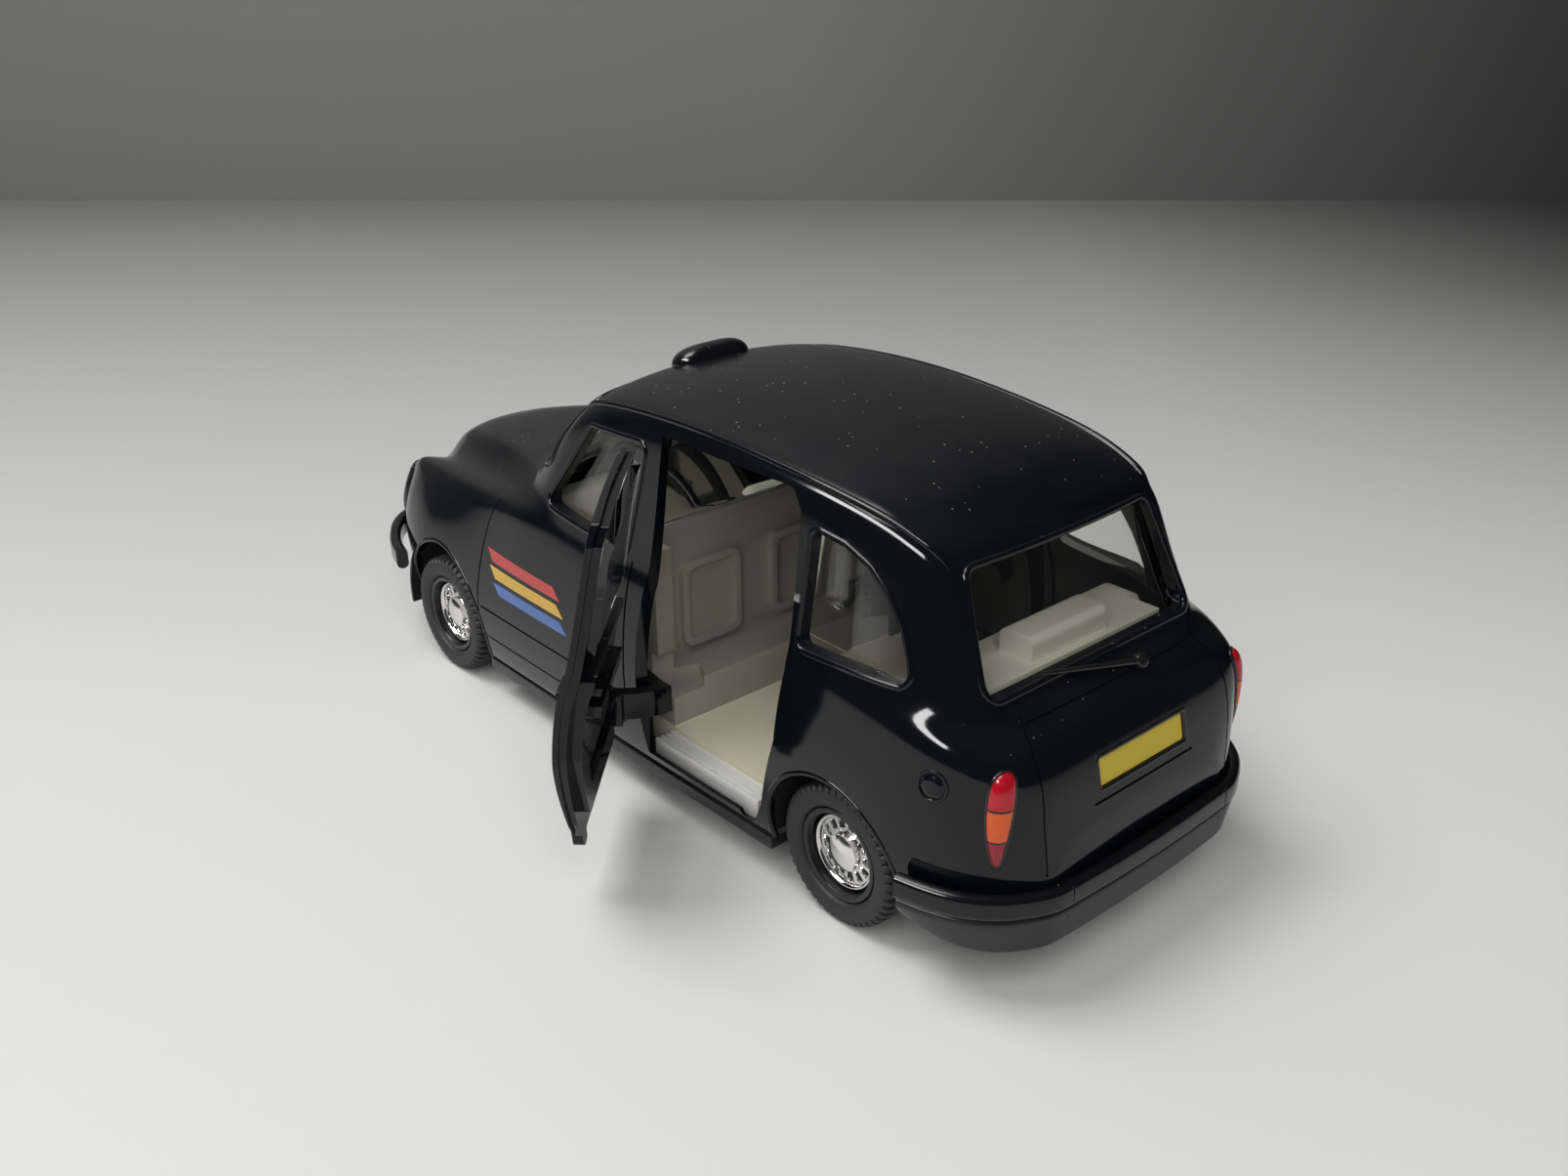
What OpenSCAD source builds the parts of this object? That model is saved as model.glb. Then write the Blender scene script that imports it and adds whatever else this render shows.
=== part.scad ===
// Toy taxi cab with opening rear doors and rolling axles, in millimetres.
// X runs forward, Y to the cab's left, Z up from the flat underside of the base plate.
// Heights named _z below are measured from the ground, and seated() moves them to the base.

/* [Overall] */
// Distance between the two axles
wheelbase = 80.2; // [77:0.2:84]
// Width over the waist of the body
body_w = 48.8; // [47:0.2:51]
// Height of the roof crown above the ground
roof_z = 52; // [50.5:0.25:54]
// Gap under the base plate
ground_clear = 4; // [3.4:0.1:4.4]

/* [Shell] */
// Thickness of the cast body and doors
wall = 1.3; // [1.1:0.05:1.4]
// Gap round the rear doors
door_gap = 0.3; // [0.25:0.05:0.5]
// Thickness of the clear mouldings
glass_t = 0.8; // [0.6:0.05:0.9]
// Distance from the body to the clear mouldings
glass_gap = 0.05; // [0.03:0.01:0.1]

/* [Doors] */
// How far the left door stands open as drawn
left_open = 45; // [0:1:48]
// How far the right door stands open as drawn
right_open = 0; // [0:1:48]
// Diameter of a hinge pin
pin_d = 1.5; // [1.2:0.05:1.6]
// Play of a hinge arm on its pin, each side
pin_play = 0.05; // [0.03:0.01:0.08]

/* [Wheels] */
// Diameter of a tyre
tyre_d = 16.8; // [16:0.1:17.4]
// Width of a tyre
tyre_w = 6.4; // [5.6:0.1:6.8]
// Width over the outer faces of the tyres
track_w = 45.4; // [44.6:0.1:46]
// Diameter of the seat for a tyre on its rim
rim_d = 11.2; // [10.6:0.1:11.8]
// Diameter of the dish in a rim
dish_d = 9.4; // [9:0.1:9.8]
// Diameter of an axle
axle_d = 2.4; // [2:0.1:2.8]
// Play of an axle in its lugs, each side
axle_play = 0.05; // [0.03:0.01:0.08]
// Number of slots round a hub
hub_slots = 14; // [10:1:18]

/* [Cabin] */
// Thickness of the cabin floor
floor_t = 3.2; // [2.6:0.1:3.6]
// Height of the bulkhead above the ground
bulkhead_z = 32; // [30:0.5:33]
// Height of the ledge at the foot of the bulkhead
ledge_z = 14; // [12.8:0.1:14.5]
// Thickness of the bulkhead
bulkhead_t = 2; // [1.4:0.1:2.4]

/* [Trim] */
// Width of the rear plate
plate_w = 14.4; // [12:0.2:16]
// Height of the rear plate
plate_h = 3.4; // [2.8:0.1:4]
// Width of the roof sign
sign_w = 11; // [9:0.2:12]
// Height of the roof sign above the roof
sign_h = 2.1; // [1.6:0.1:2.8]
// Bulge of a tail lamp
lamp_bulge = 0.8; // [0.5:0.05:1.1]

/* [Hidden] */
$fn = 48;
corner_fn = 20;

// Sizes for which the body lines are drawn, and the stretch to the sizes set above
drawn_wheelbase = 80.2;
drawn_w = 48.8;
drawn_roof_z = 52;
sx = wheelbase / drawn_wheelbase;
sy = body_w / drawn_w;
sz = roof_z / drawn_roof_z;

black = [0.03, 0.03, 0.035];
satin = [0.08, 0.08, 0.085];
warm_grey = [0.62, 0.6, 0.54];
cream = [0.78, 0.75, 0.66];
clear = [0.8, 0.85, 0.85, 0.4];
steel = [0.75, 0.76, 0.78];
amber = [0.95, 0.45, 0.08];
red = [0.75, 0.04, 0.04];
yellow = [0.9, 0.75, 0.08];
bite = 0.01;

// Lines of the body, each key an x place with the half-width and height there
sill_z = 5.4;
end_z = 6.4;
step_z = 5.55;
sill_line = [[-62.6, [14.2, end_z]], [-59.5, [18.2, end_z]], [-55, [21.2, end_z]],
    [-50, [22.6, end_z]], [-46, [22.8, step_z]], [-42, [22.8, sill_z]], [0, [23, sill_z]],
    [42, [22.6, sill_z]], [46, [22.4, step_z]], [50, [21, end_z]], [56, [17, end_z]],
    [60, [13.4, end_z]], [64, [10.6, end_z]]];
waist_line = [[-62.6, [15, 11]], [-61.4, [17.4, 15]], [-59.8, [19.8, 17]], [-56.5, [22.3, 17.5]],
    [-50, [24.2, 17.5]], [-40, [24.6, 17.5]], [0, [24.5, 17]], [30, [24.4, 17]], [45, [24, 17]],
    [54, [22, 16.5]], [60, [18.8, 16]], [62.5, [16.6, 15.5]], [64, [14.4, 15]]];
shoulder_line = [[-62.6, [14, 15]], [-61.4, [16.8, 22]], [-59.8, [19.4, 25.8]], [-57, [21.3, 27.3]],
    [-52, [22.8, 28.4]], [-44, [23.2, 29.2]], [-30, [23.1, 29.8]], [0, [23, 30]], [18, [22.4, 30.4]],
    [30, [21, 29.6]], [42, [19.5, 28.8]], [52, [17.8, 27.8]], [57.5, [16.4, 26.6]],
    [61.5, [14.2, 23.8]], [64, [12.2, 21]]];
ledge_line = [[-62.6, [12, 16.4]], [-61.4, [13.5, 22.9]], [-59.8, [15, 26.3]], [-57, [16.8, 28.4]],
    [-53.5, [18.4, 29.9]], [-48, [20.4, 31]], [-40, [21.4, 31.4]], [0, [21.6, 31.6]],
    [14, [21.2, 31.8]], [22, [19.2, 31]], [32, [16.2, 29.3]], [45, [13, 27]],
    [54, [11, 25]], [60, [9.6, 23]], [64, [8.8, 21.4]]];
eave_line = [[-62.6, [9, 16.9]], [-61.4, [9.6, 23.2]], [-59.8, [10.5, 26.5]], [-57, [13, 28.8]],
    [-54.6, [16.4, 31]], [-51.5, [16.7, 37]], [-48.5, [16.9, 42.8]], [-44, [17.6, 45.2]],
    [-36, [18.3, 46.7]], [-20, [18.9, 47.9]], [-8, [18.9, 47.9]], [4, [18.5, 46.9]],
    [9, [18, 45.6]], [14, [17.7, 41.8]], [19, [17.2, 37]], [23, [16.2, 34.2]], [32, [13.2, 32.8]],
    [45, [10.4, 31]], [54, [8.2, 28.8]], [60, [6.8, 26.4]], [64, [5.8, 23.4]]];
crown_line = [[-62.6, [0, 17.2]], [-61.4, [0, 23.4]], [-59.8, [0, 26.7]], [-57, [0, 29]],
    [-55, [0, 30.4]], [-52.6, [0, 36]], [-50.2, [0, 42]], [-47.6, [0, 45]], [-42, [0, 48]],
    [-34, [0, 49.8]], [-22, [0, 51]], [-10, [0, 51.2]], [0, [0, 50.4]], [7, [0, 49]],
    [11, [0, 47.2]], [16, [0, 42.4]], [21, [0, 37.2]], [24.5, [0, 34.6]], [32, [0, 33.6]],
    [45, [0, 32.2]], [54, [0, 30.2]], [60, [0, 27.8]], [64, [0, 24.2]]];
tail_x = sill_line[0][0];
nose_x = sill_line[len(sill_line) - 1][0];

// Stations along the body, closer together where it turns quickly
rear_clear_x = [-54.6, -32.4];
front_clear_x = [-6, 22.4];
station_runs = [[tail_x, rear_clear_x[0], 6], [rear_clear_x[0], -43.5, 5], [-43.5, rear_clear_x[1], 2],
    [rear_clear_x[1], front_clear_x[0], 3], [front_clear_x[0], 4, 1], [4, front_clear_x[1], 7],
    [front_clear_x[1], 25, 1], [25, 55, 5], [55, nose_x, 5]];
function steps(d) = d > 0 ? 1 : 2;

// Axles, hinge and window places, in drawn sizes
front_axle_x = 40.4;
rear_axle_x = -39.8;
hinge_at = [-1, 20.6];
hinge_x = hinge_at[0] * sx;
hinge_y = hinge_at[1] * sy;
hinge_r = 7;
arm_z = [13, 16.4];
arm_angle = 216;
arch_gaps = [[front_axle_x, 2.6], [rear_axle_x, 1.6]];
front_window = [[6.4, 43.2], [13.3, 33.6], [-2.2, 32.8], [-3.6, 43.9]];
quarter_window = [[-33.6, 42.2], [-39.2, 41.2], [-44.2, 37.2], [-46.6, 32.4], [-34, 31.9]];
door_window = [[-11.2, 43.6], [-27.4, 43.2], [-28.4, 33], [-11.2, 33]];
door_outline = [[-4, 8.4], [-26.2, 8.4], [-27.4, 10.6], [-30.2, 20], [-30.7, 28], [-29.4, 44],
    [-28.4, 45.2], [-4, 45.4]];
door_round = 1.1;
window_round = 1;
screen_window = [[17.2, 36.9], [14.6, 45.2]];
tail_window = [[14.8, 32.2], [13.2, 41.2]];
tail_round = 1.4;
side_cut_y = 8;
screen_cut_x = [9, 45];
tail_cut_x = [-64, -44];

// Place on a drawn line, a smooth curve through its keys
function span(keys, x, i = 0) =
    i >= len(keys) - 2 || x <= keys[i + 1][0] ? i : span(keys, x, i + 1);
function slope(keys, i) =
    let (a = keys[max(i - 1, 0)], b = keys[min(i + 1, len(keys) - 1)])
    (b[1] - a[1]) / (b[0] - a[0]);
function along(keys, at) =
    let (x = min(max(at, tail_x), nose_x), i = span(keys, x), a = keys[i], b = keys[i + 1],
        w = b[0] - a[0], t = (x - a[0]) / w, t2 = t * t, t3 = t2 * t)
    (2 * t3 - 3 * t2 + 1) * a[1] + (t3 - 2 * t2 + t) * w * slope(keys, i)
    + (3 * t2 - 2 * t3) * b[1] + (t3 - t2) * w * slope(keys, i + 1);

// The same line set in from the skin by a depth, or raised where the depth is negative
function pick(a, b, c, d) =
    d < 0 ? [max(a[0], b[0], c[0]), max(a[1], b[1], c[1])]
    : [min(a[0], b[0], c[0]), min(a[1], b[1], c[1])];
function inset(keys, x, d) =
    d == 0 ? along(keys, x)
    : pick(along(keys, x) - [d, d], along(keys, x - d), along(keys, x + d), d);

// Points that guide one half of a section, from the sill up to the crown
sill_turn = 0.8;
shoulder_drop = 2.2;
shoulder_turn = 0.9;
cavity_drop = 6;
roof_edge = [0.86, 0.46];
roof_mid = [0.45, 0.92];
function guide(x, d) =
    let (sill = inset(sill_line, x, d), waist = inset(waist_line, x, d),
        shoulder = inset(shoulder_line, x, d), ledge = inset(ledge_line, x, d),
        eave = inset(eave_line, x, d), crown = inset(crown_line, x, d),
        foot = d > 0 ? sill_z - cavity_drop : sill[1], camber = crown[1] - eave[1])
    [[sill[0] - (d > 0 ? 0 : sill_turn), foot], [sill[0], foot + sill_turn], waist,
        [shoulder[0], max(shoulder[1] - shoulder_drop, (shoulder[1] + waist[1]) / 2)],
        [shoulder[0] - shoulder_turn, shoulder[1]], ledge, (ledge + 3 * eave) / 4, eave,
        [eave[0] * roof_edge[0], eave[1] + roof_edge[1] * camber],
        [eave[0] * roof_mid[0], eave[1] + roof_mid[1] * camber], [0, crown[1]]];
guides = 11;

// A smooth curve past the guide points, at a place j counted in guides
function flip(p) = [-p[0], p[1]];
function guide_at(g, i) = i < 0 ? 2 * g[0] - g[1] : i >= guides ? flip(g[2 * guides - 2 - i]) : g[i];
function curve(g, j) =
    let (i = min(floor(j), guides - 1), t = j - i, t2 = t * t, t3 = t2 * t)
    ((1 - 3 * t + 3 * t2 - t3) * guide_at(g, i - 1) + (3 * t3 - 6 * t2 + 4) * guide_at(g, i)
    + (1 + 3 * t + 3 * t2 - 3 * t3) * guide_at(g, i + 1) + t3 * guide_at(g, i + 2)) / 6;
function skin(x, j, d = 0) =
    let (p = curve(guide(x, d), j)) [x * sx, p[0] * sy, p[1] * sz];

// The body as one smooth solid, set in from the skin by a depth
function stations(d) = [for (run = station_runs, i = [0:run[2] - 1])
    let (x = run[0] + (run[1] - run[0]) * i / run[2]) max(x, tail_x + d), nose_x - d];
function section(x, d) =
    let (g = guide(x, d), half = [for (k = [0:(guides - 1) * steps(d)]) curve(g, k / steps(d))])
    [for (p = half) [x * sx, p[0] * sy, p[1] * sz],
        for (k = [len(half) - 2:-1:0]) [x * sx, -half[k][0] * sy, half[k][1] * sz]];
module loft(d) {
    rows = [for (x = stations(d)) section(x, d)];
    n = len(rows[0]);
    last = len(rows) - 1;
    polyhedron(
        points = [for (row = rows) each row],
        faces = [[for (k = [0:n - 1]) k], [for (k = [n - 1:-1:0]) last * n + k],
            for (i = [0:last - 1], k = [0:n - 1])
                let (a = i * n + k, b = i * n + (k + 1) % n) each [[a, a + n, b], [b, a + n, b + n]]],
        convexity = 8);
}

// Drawn sizes stretched to the set sizes
function at3(p) = [p[0] * sx, p[1] * sy, p[2] * sz];
function flat_xz(points) = [for (p = points) [p[0] * sx, p[1] * sz]];
module seated() {
    translate([0, 0, -ground_clear]) children();
}
module both_sides() {
    children();
    mirror([0, 1, 0]) children();
}
module along_y(from, to) {
    translate([0, to, 0]) rotate([90, 0, 0]) linear_extrude(to - from) children();
}
module along_x(from, to) {
    translate([from, 0, 0]) rotate([90, 0, 90]) linear_extrude(to - from) children();
}
module rounded(corners, r) {
    hull() for (c = corners) translate(c) circle(r, $fn = corner_fn);
}
module block(from, to) {
    translate(from) cube(to - from);
}
module soft_rect(from, to, r) {
    block2(from + [r, 0], to - [r, 0]);
    block2(from + [0, r], to - [0, r]);
    for (x = [from[0] + r, to[0] - r], y = [from[1] + r, to[1] - r]) translate([x, y]) circle(r);
}
module block2(from, to) {
    translate(from) square(to - from);
}

// An oval blister standing on the skin, used for lamps
blister_rings = 3;
blister_spokes = 18;
blister_edge = 0.92;
normal_step = 0.1;
function cross_unit(a, b) = let (c = cross(a, b)) c / norm(c);
function skin_normal(x, j) =
    let (e = normal_step / 2) cross_unit(skin(x, j + e) - skin(x, j - e), skin(x + e, j) - skin(x - e, j));
function oval(at, size, ring, spoke) =
    let (r = ring / blister_rings, a = -360 * spoke / blister_spokes)
    [at[0] + size[0] * r * cos(a), at[1] + size[1] * r * sin(a)];
module blister(at, size, rise, sink) {
    ring_points = [for (ring = [1:blister_rings], spoke = [0:blister_spokes - 1])
        oval(at, size, ring, spoke)];
    places = concat([at], ring_points);
    count = len(places);
    up = [for (i = [0:count - 1])
        let (ring = i == 0 ? 0 : 1 + floor((i - 1) / blister_spokes), r = ring / blister_rings)
        rise * sqrt(1 - r * r * blister_edge)];
    points = concat(
        [for (i = [0:count - 1]) skin(places[i][0], places[i][1])
            + up[i] * skin_normal(places[i][0], places[i][1])],
        [for (p = places) skin(p[0], p[1]) - sink * skin_normal(p[0], p[1])]);
    function next(s) = (s + 1) % blister_spokes;
    function index(ring, s) = ring == 0 ? 0 : 1 + (ring - 1) * blister_spokes + s;
    rim = blister_rings;
    polyhedron(points = points, convexity = 4, faces = [
        for (s = [0:blister_spokes - 1]) each [
            [0, index(1, next(s)), index(1, s)],
            [count, count + index(1, s), count + index(1, next(s))],
            [index(rim, s), index(rim, next(s)), count + index(rim, s)],
            [index(rim, next(s)), count + index(rim, next(s)), count + index(rim, s)]],
        for (ring = [1:blister_rings - 1], s = [0:blister_spokes - 1]) each [
            [index(ring, s), index(ring, next(s)), index(ring + 1, s)],
            [index(ring, next(s)), index(ring + 1, next(s)), index(ring + 1, s)],
            [count + index(ring, next(s)), count + index(ring, s), count + index(ring + 1, s)],
            [count + index(ring, next(s)), count + index(ring + 1, s),
                count + index(ring + 1, next(s))]]]);
}

// Axles and wheels
tyre_r = tyre_d / 2;
axle_r = axle_d / 2;
rim_r = rim_d / 2;
dish_r = dish_d / 2;
tyre_shoulder = 0.5;
rim_inset = 0.4;
rim_foot = 1;
web_w = [1, 3.8];
hub_gap = 0.1;
hub_r = dish_r - hub_gap;
hub_rim_w = 1.3;
hub_step = 0.5;
hub_dome = 2.1;
hub_lip = 0.7;
hub_bevel = [0.3, 0.2];
cap_share = 0.46;
cap_rise = 0.1;
slot_share = 0.67;
slot_size = [0.9, 0.5];
inner_face = track_w / 2 - tyre_w;
module at_axle(x) {
    translate([x * sx, 0, tyre_r]) children();
}
module turned() {
    rotate([-90, 0, 0]) rotate_extrude() children();
}
module axle() {
    reach = inner_face + web_w[1];
    translate([0, -reach, 0]) rotate([-90, 0, 0]) cylinder(r = axle_r, h = 2 * reach);
}
module tyre() {
    translate([0, inner_face, 0]) turned() polygon([[rim_r, 0], [tyre_r - tyre_shoulder, 0],
        [tyre_r, tyre_shoulder], [tyre_r, tyre_w - tyre_shoulder],
        [tyre_r - tyre_shoulder, tyre_w], [rim_r, tyre_w]]);
}
module rim() {
    translate([0, inner_face, 0]) turned() polygon([[axle_r, web_w[0]], [rim_r - rim_foot, rim_inset],
        [rim_r, rim_inset], [rim_r, tyre_w - rim_inset], [dish_r, tyre_w - rim_inset],
        [dish_r, web_w[1]], [axle_r, web_w[1]]]);
}
module hub() {
    face = web_w[1] + hub_rim_w;
    cap_r = hub_r * cap_share;
    translate([0, inner_face, 0]) difference() {
        turned() polygon([[0, web_w[1]], [hub_r, web_w[1]], [hub_r, face - hub_bevel[1]],
            [hub_r - hub_bevel[0], face], [hub_r - hub_lip, face - hub_step], [cap_r, face - hub_step],
            [cap_r - hub_bevel[0], face + cap_rise], [0, web_w[1] + hub_dome]]);
        for (i = [0:hub_slots - 1]) rotate([0, 360 * i / hub_slots, 0])
            translate([hub_r * slot_share, face - hub_step, 0])
                cube([slot_size[0], slot_size[0], slot_size[1]], center = true);
    }
}
module front_axle() {
    color(steel) seated() at_axle(front_axle_x) axle();
}
module rear_axle() {
    color(steel) seated() at_axle(rear_axle_x) axle();
}
module front_left_tyre() {
    color(satin) seated() at_axle(front_axle_x) tyre();
}
module front_right_tyre() {
    color(satin) seated() at_axle(front_axle_x) mirror([0, 1, 0]) tyre();
}
module rear_left_tyre() {
    color(satin) seated() at_axle(rear_axle_x) tyre();
}
module rear_right_tyre() {
    color(satin) seated() at_axle(rear_axle_x) mirror([0, 1, 0]) tyre();
}
module front_left_rim() {
    color(black) seated() at_axle(front_axle_x) rim();
}
module front_right_rim() {
    color(black) seated() at_axle(front_axle_x) mirror([0, 1, 0]) rim();
}
module rear_left_rim() {
    color(black) seated() at_axle(rear_axle_x) rim();
}
module rear_right_rim() {
    color(black) seated() at_axle(rear_axle_x) mirror([0, 1, 0]) rim();
}
module front_left_hub() {
    color(steel) seated() at_axle(front_axle_x) hub();
}
module front_right_hub() {
    color(steel) seated() at_axle(front_axle_x) mirror([0, 1, 0]) hub();
}
module rear_left_hub() {
    color(steel) seated() at_axle(rear_axle_x) hub();
}
module rear_right_hub() {
    color(steel) seated() at_axle(rear_axle_x) mirror([0, 1, 0]) hub();
}

// Body shell, with openings for windows, doors and wheels and two screw posts
reach_y = body_w;
base_top = sill_z * sz;
end_top = end_z * sz;
post_places = [[56, 0], [-57, 0]];
post_r = 2.1;
screw_r = 1;
screw_depth = 7;
plate_angle = 13;
plate_t = 0.6;
plate_play = 0.05;
pocket_deep = 4;
rear_plate_at = [-61.75, 0, 22.2];
module wheel_openings() {
    for (a = arch_gaps) at_axle(a[0])
        rotate([90, 0, 0]) cylinder(r = tyre_r + a[1], h = 2 * reach_y, center = true);
}
module hinge_round(r) {
    translate([hinge_x, hinge_y, 0]) cylinder(r = r, h = 2 * roof_z);
}
module door_opening() {
    difference() {
        along_y(0, reach_y) {
            rounded(flat_xz(door_outline), door_round + door_gap);
            rounded(flat_xz(tab_outline), tab_round + door_gap);
        }
        hinge_round(hinge_r - door_gap);
    }
}
module side_windows() {
    along_y(side_cut_y, reach_y) rounded(flat_xz(front_window), window_round);
    along_y(side_cut_y, reach_y) rounded(flat_xz(quarter_window), window_round);
}
function mirrored(corners) =
    concat([for (c = corners) [c[0] * sy, c[1] * sz]], [for (c = corners) [-c[0] * sy, c[1] * sz]]);
module windscreen_opening() {
    along_x(screen_cut_x[0] * sx, screen_cut_x[1] * sx) rounded(mirrored(screen_window), window_round);
}
module tail_opening() {
    along_x(tail_cut_x[0] * sx, tail_cut_x[1] * sx) rounded(mirrored(tail_window), tail_round);
}
module on_tail(at) {
    translate(at3(at)) rotate([0, -plate_angle, 0]) children();
}
module plate_pocket() {
    on_tail(rear_plate_at) translate([-pocket_deep / 2, 0, 0])
        cube([pocket_deep, plate_w + 2 * plate_play, plate_h + 2 * plate_play], center = true);
}
module post(at) {
    translate([at[0] * sx, at[1] * sy, end_top]) children();
}

// Shut lines scored into the skin: front doors, tailgate, rub strips and filler cap
seam_w = 0.35;
seam_depth = 0.4;
seam_fn = 8;
door_seam = [[28.2, 27.4], [30.5, 9.2]];
strip_seam = [[-2.6, 14.1], [28.6, 14.1]];
tail_seam = [[15.5, 14.7], [15.5, 27.3]];
cap_at = [-53.4, 23.7];
filler_r = 1.7;
module scored(ends) {
    hull() for (p = ends) translate(p) circle(d = seam_w, $fn = seam_fn);
}
module side_seams() {
    scored(flat_xz(door_seam));
    scored(flat_xz(strip_seam));
    translate([cap_at[0] * sx, cap_at[1] * sz]) difference() {
        circle(filler_r, $fn = corner_fn);
        circle(filler_r - seam_w, $fn = corner_fn);
    }
}
module seams() {
    difference() {
        both_sides() {
            along_y(side_cut_y, reach_y) side_seams();
            along_x(tail_cut_x[0] * sx, tail_cut_x[1] * sx)
                scored([for (p = tail_seam) [p[0] * sy, p[1] * sz]]);
        }
        loft(seam_depth);
    }
}
module body_shell() {
    color(black) seated() difference() {
        union() {
            difference() {
                loft(0);
                loft(wall);
            }
            intersection() {
                loft(0);
                for (p = post_places) post(p) cylinder(r = post_r, h = roof_z);
            }
        }
        for (p = post_places) post(p) translate([0, 0, -bite]) cylinder(r = screw_r, h = screw_depth);
        both_sides() {
            side_windows();
            door_opening();
        }
        windscreen_opening();
        tail_opening();
        wheel_openings();
        plate_pocket();
        seams();
    }
}

// Base plate with valances, axle lugs and hinge brackets
base_t = base_top - ground_clear;
rim_tuck = 0.3;
lug_y = [9, 12.4];
lug_half = 2.6;
lug_over = 2.4;
well_half = 10.4;
well_y = 14.6;
well_h = 20;
bar_gap = 0.12;
bar_bite = -0.35;
valance_t = 0.7;
bumper_t = 1.3;
end_t = 0.7;
pad_r = 3;
pad_t = 1.5;
step_x = [[-51.4, -45.6], [45.6, 50.4]];
step_half = 14;
rear_bar_from = -50.8;
front_bar_from = 50.8;
bar_steps = 12;
rear_valance_z = 10.4;
rear_bumper_z = 13.2;
front_bumper_z = [12.4, 15.6];
bow = 0.5;
bow_keys = [[0.6, 0.7], [1, 0.35]];
bracket_from = [-2.7, 18.8];
bracket_to = [0.7, 21.2];
ear_z = [11, 12.8];
ear_r = 1.25;
head_r = 1.9;
head_t = 0.7;
screw_play = 0.1;
thread_gap = 0.02;
tip_gap = 0.5;
pin_sink = 3;
function flat_side(line, x) = [x * sx, along(line, x)[0] * sy];
function bar_edge(from, to, d) = [for (i = [0:bar_steps])
    let (x = from + (to - from) * sqrt(i / bar_steps), e = normal_step,
        p = flat_side(waist_line, x), q = flat_side(waist_line, x - e) - flat_side(waist_line, x + e),
        out = [abs(q[1]), abs(q[0])] / norm(q) * d)
    p + [out[0] * sign(to), out[1]]];
function both_edges(edge) = concat(edge, [for (i = [len(edge) - 1:-1:0]) [edge[i][0], -edge[i][1]]]);
function bar_plan(from, to, d, curve_out) =
    let (edge = bar_edge(from, to, d), end = edge[len(edge) - 1], out = sign(to) * curve_out)
    both_edges(concat(edge, [for (k = bow_keys) [end[0] + out * k[0], end[1] * k[1]]]));
module bar(from, to, gap, t, z0, z1) {
    translate([0, 0, z0]) linear_extrude(z1 - z0) difference() {
        polygon(bar_plan(from, to, t, bow));
        polygon(concat(bar_plan(from, to, gap, 0),
            [[(from - sign(to)) * sx, -reach_y], [(from - sign(to)) * sx, reach_y]]));
    }
}
module lug(x) {
    for (side = [1, -1]) translate([x * sx, side * (lug_y[0] + lug_y[1]) / 2, 0])
        block([-lug_half, (lug_y[0] - lug_y[1]) / 2, ground_clear],
            [lug_half, (lug_y[1] - lug_y[0]) / 2, tyre_r + lug_over]);
}
module wheel_wells() {
    for (x = [front_axle_x, rear_axle_x], side = [1, -1])
        translate([x * sx, side * (well_y + reach_y / 2), ground_clear])
            cube([2 * well_half, reach_y, well_h], center = true);
}
module bracket() {
    block([bracket_from[0] * sx, bracket_from[1] * sy, ground_clear],
        [bracket_to[0] * sx, bracket_to[1] * sy, ear_z[1] * sz]);
    translate([hinge_x, hinge_y, ear_z[0] * sz])
        cylinder(r = ear_r, h = (ear_z[1] - ear_z[0]) * sz);
}
module pin_seat() {
    translate([hinge_x, hinge_y, ear_z[0] * sz - pin_sink]) cylinder(d = pin_d, h = 2 * pin_sink);
}
plate_keys = [-46, 0, 46];
front_end_keys = [46, 50, 53, 56, 58, 60, 62, 63.6];
module raised(z) {
    translate([0, 0, z - end_t]) linear_extrude(end_t) children();
}
module base_plate() {
    edge = [for (x = plate_keys) flat_side(sill_line, x) - [0, rim_tuck]];
    front_end = [for (x = front_end_keys) flat_side(sill_line, x) - [0, rim_tuck]];
    color(satin) seated() difference() {
        union() {
            difference() {
                union() {
                    translate([0, 0, ground_clear]) linear_extrude(base_t) polygon(both_edges(edge));
                    for (s = step_x) block([s[0] * sx, -step_half * sy, ground_clear],
                        [s[1] * sx, step_half * sy, end_top]);
                    raised(end_top) polygon(both_edges(front_end));
                }
                wheel_wells();
            }
            raised(end_top) polygon(bar_plan(rear_bar_from, tail_x, bar_gap + valance_t / 2, 0));
            bar(rear_bar_from, tail_x, bar_gap, bar_gap + valance_t, end_top - end_t,
                rear_valance_z * sz);
            lug(front_axle_x);
            lug(rear_axle_x);
            both_sides() bracket();
            for (p = post_places) translate([p[0] * sx, p[1] * sy, end_top - pad_t])
                cylinder(r = pad_r, h = pad_t);
        }
        for (x = [front_axle_x, rear_axle_x]) at_axle(x) rotate([90, 0, 0])
            cylinder(r = axle_r + axle_play, h = body_w, center = true);
        both_sides() pin_seat();
        for (p = post_places) translate([p[0] * sx, p[1] * sy, end_top - pad_t - bite]) {
            cylinder(r = head_r + screw_play, h = head_t + bite);
            cylinder(r = screw_r + screw_play, h = pad_t + 2 * bite);
        }
    }
}
module base_screws() {
    color(steel) seated() for (p = post_places) translate([p[0] * sx, p[1] * sy, end_top - pad_t]) {
        cylinder(r = head_r, h = head_t);
        cylinder(r = screw_r - thread_gap, h = pad_t + screw_depth - tip_gap);
    }
}
module rear_bumper() {
    color(black) seated() bar(rear_bar_from, tail_x, bar_bite, bar_gap + bumper_t, rear_valance_z * sz,
        rear_bumper_z * sz);
}
module front_bumper() {
    color(black) seated() bar(front_bar_from, nose_x, bar_bite, bar_gap + bumper_t,
        front_bumper_z[0] * sz, front_bumper_z[1] * sz);
}

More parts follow.
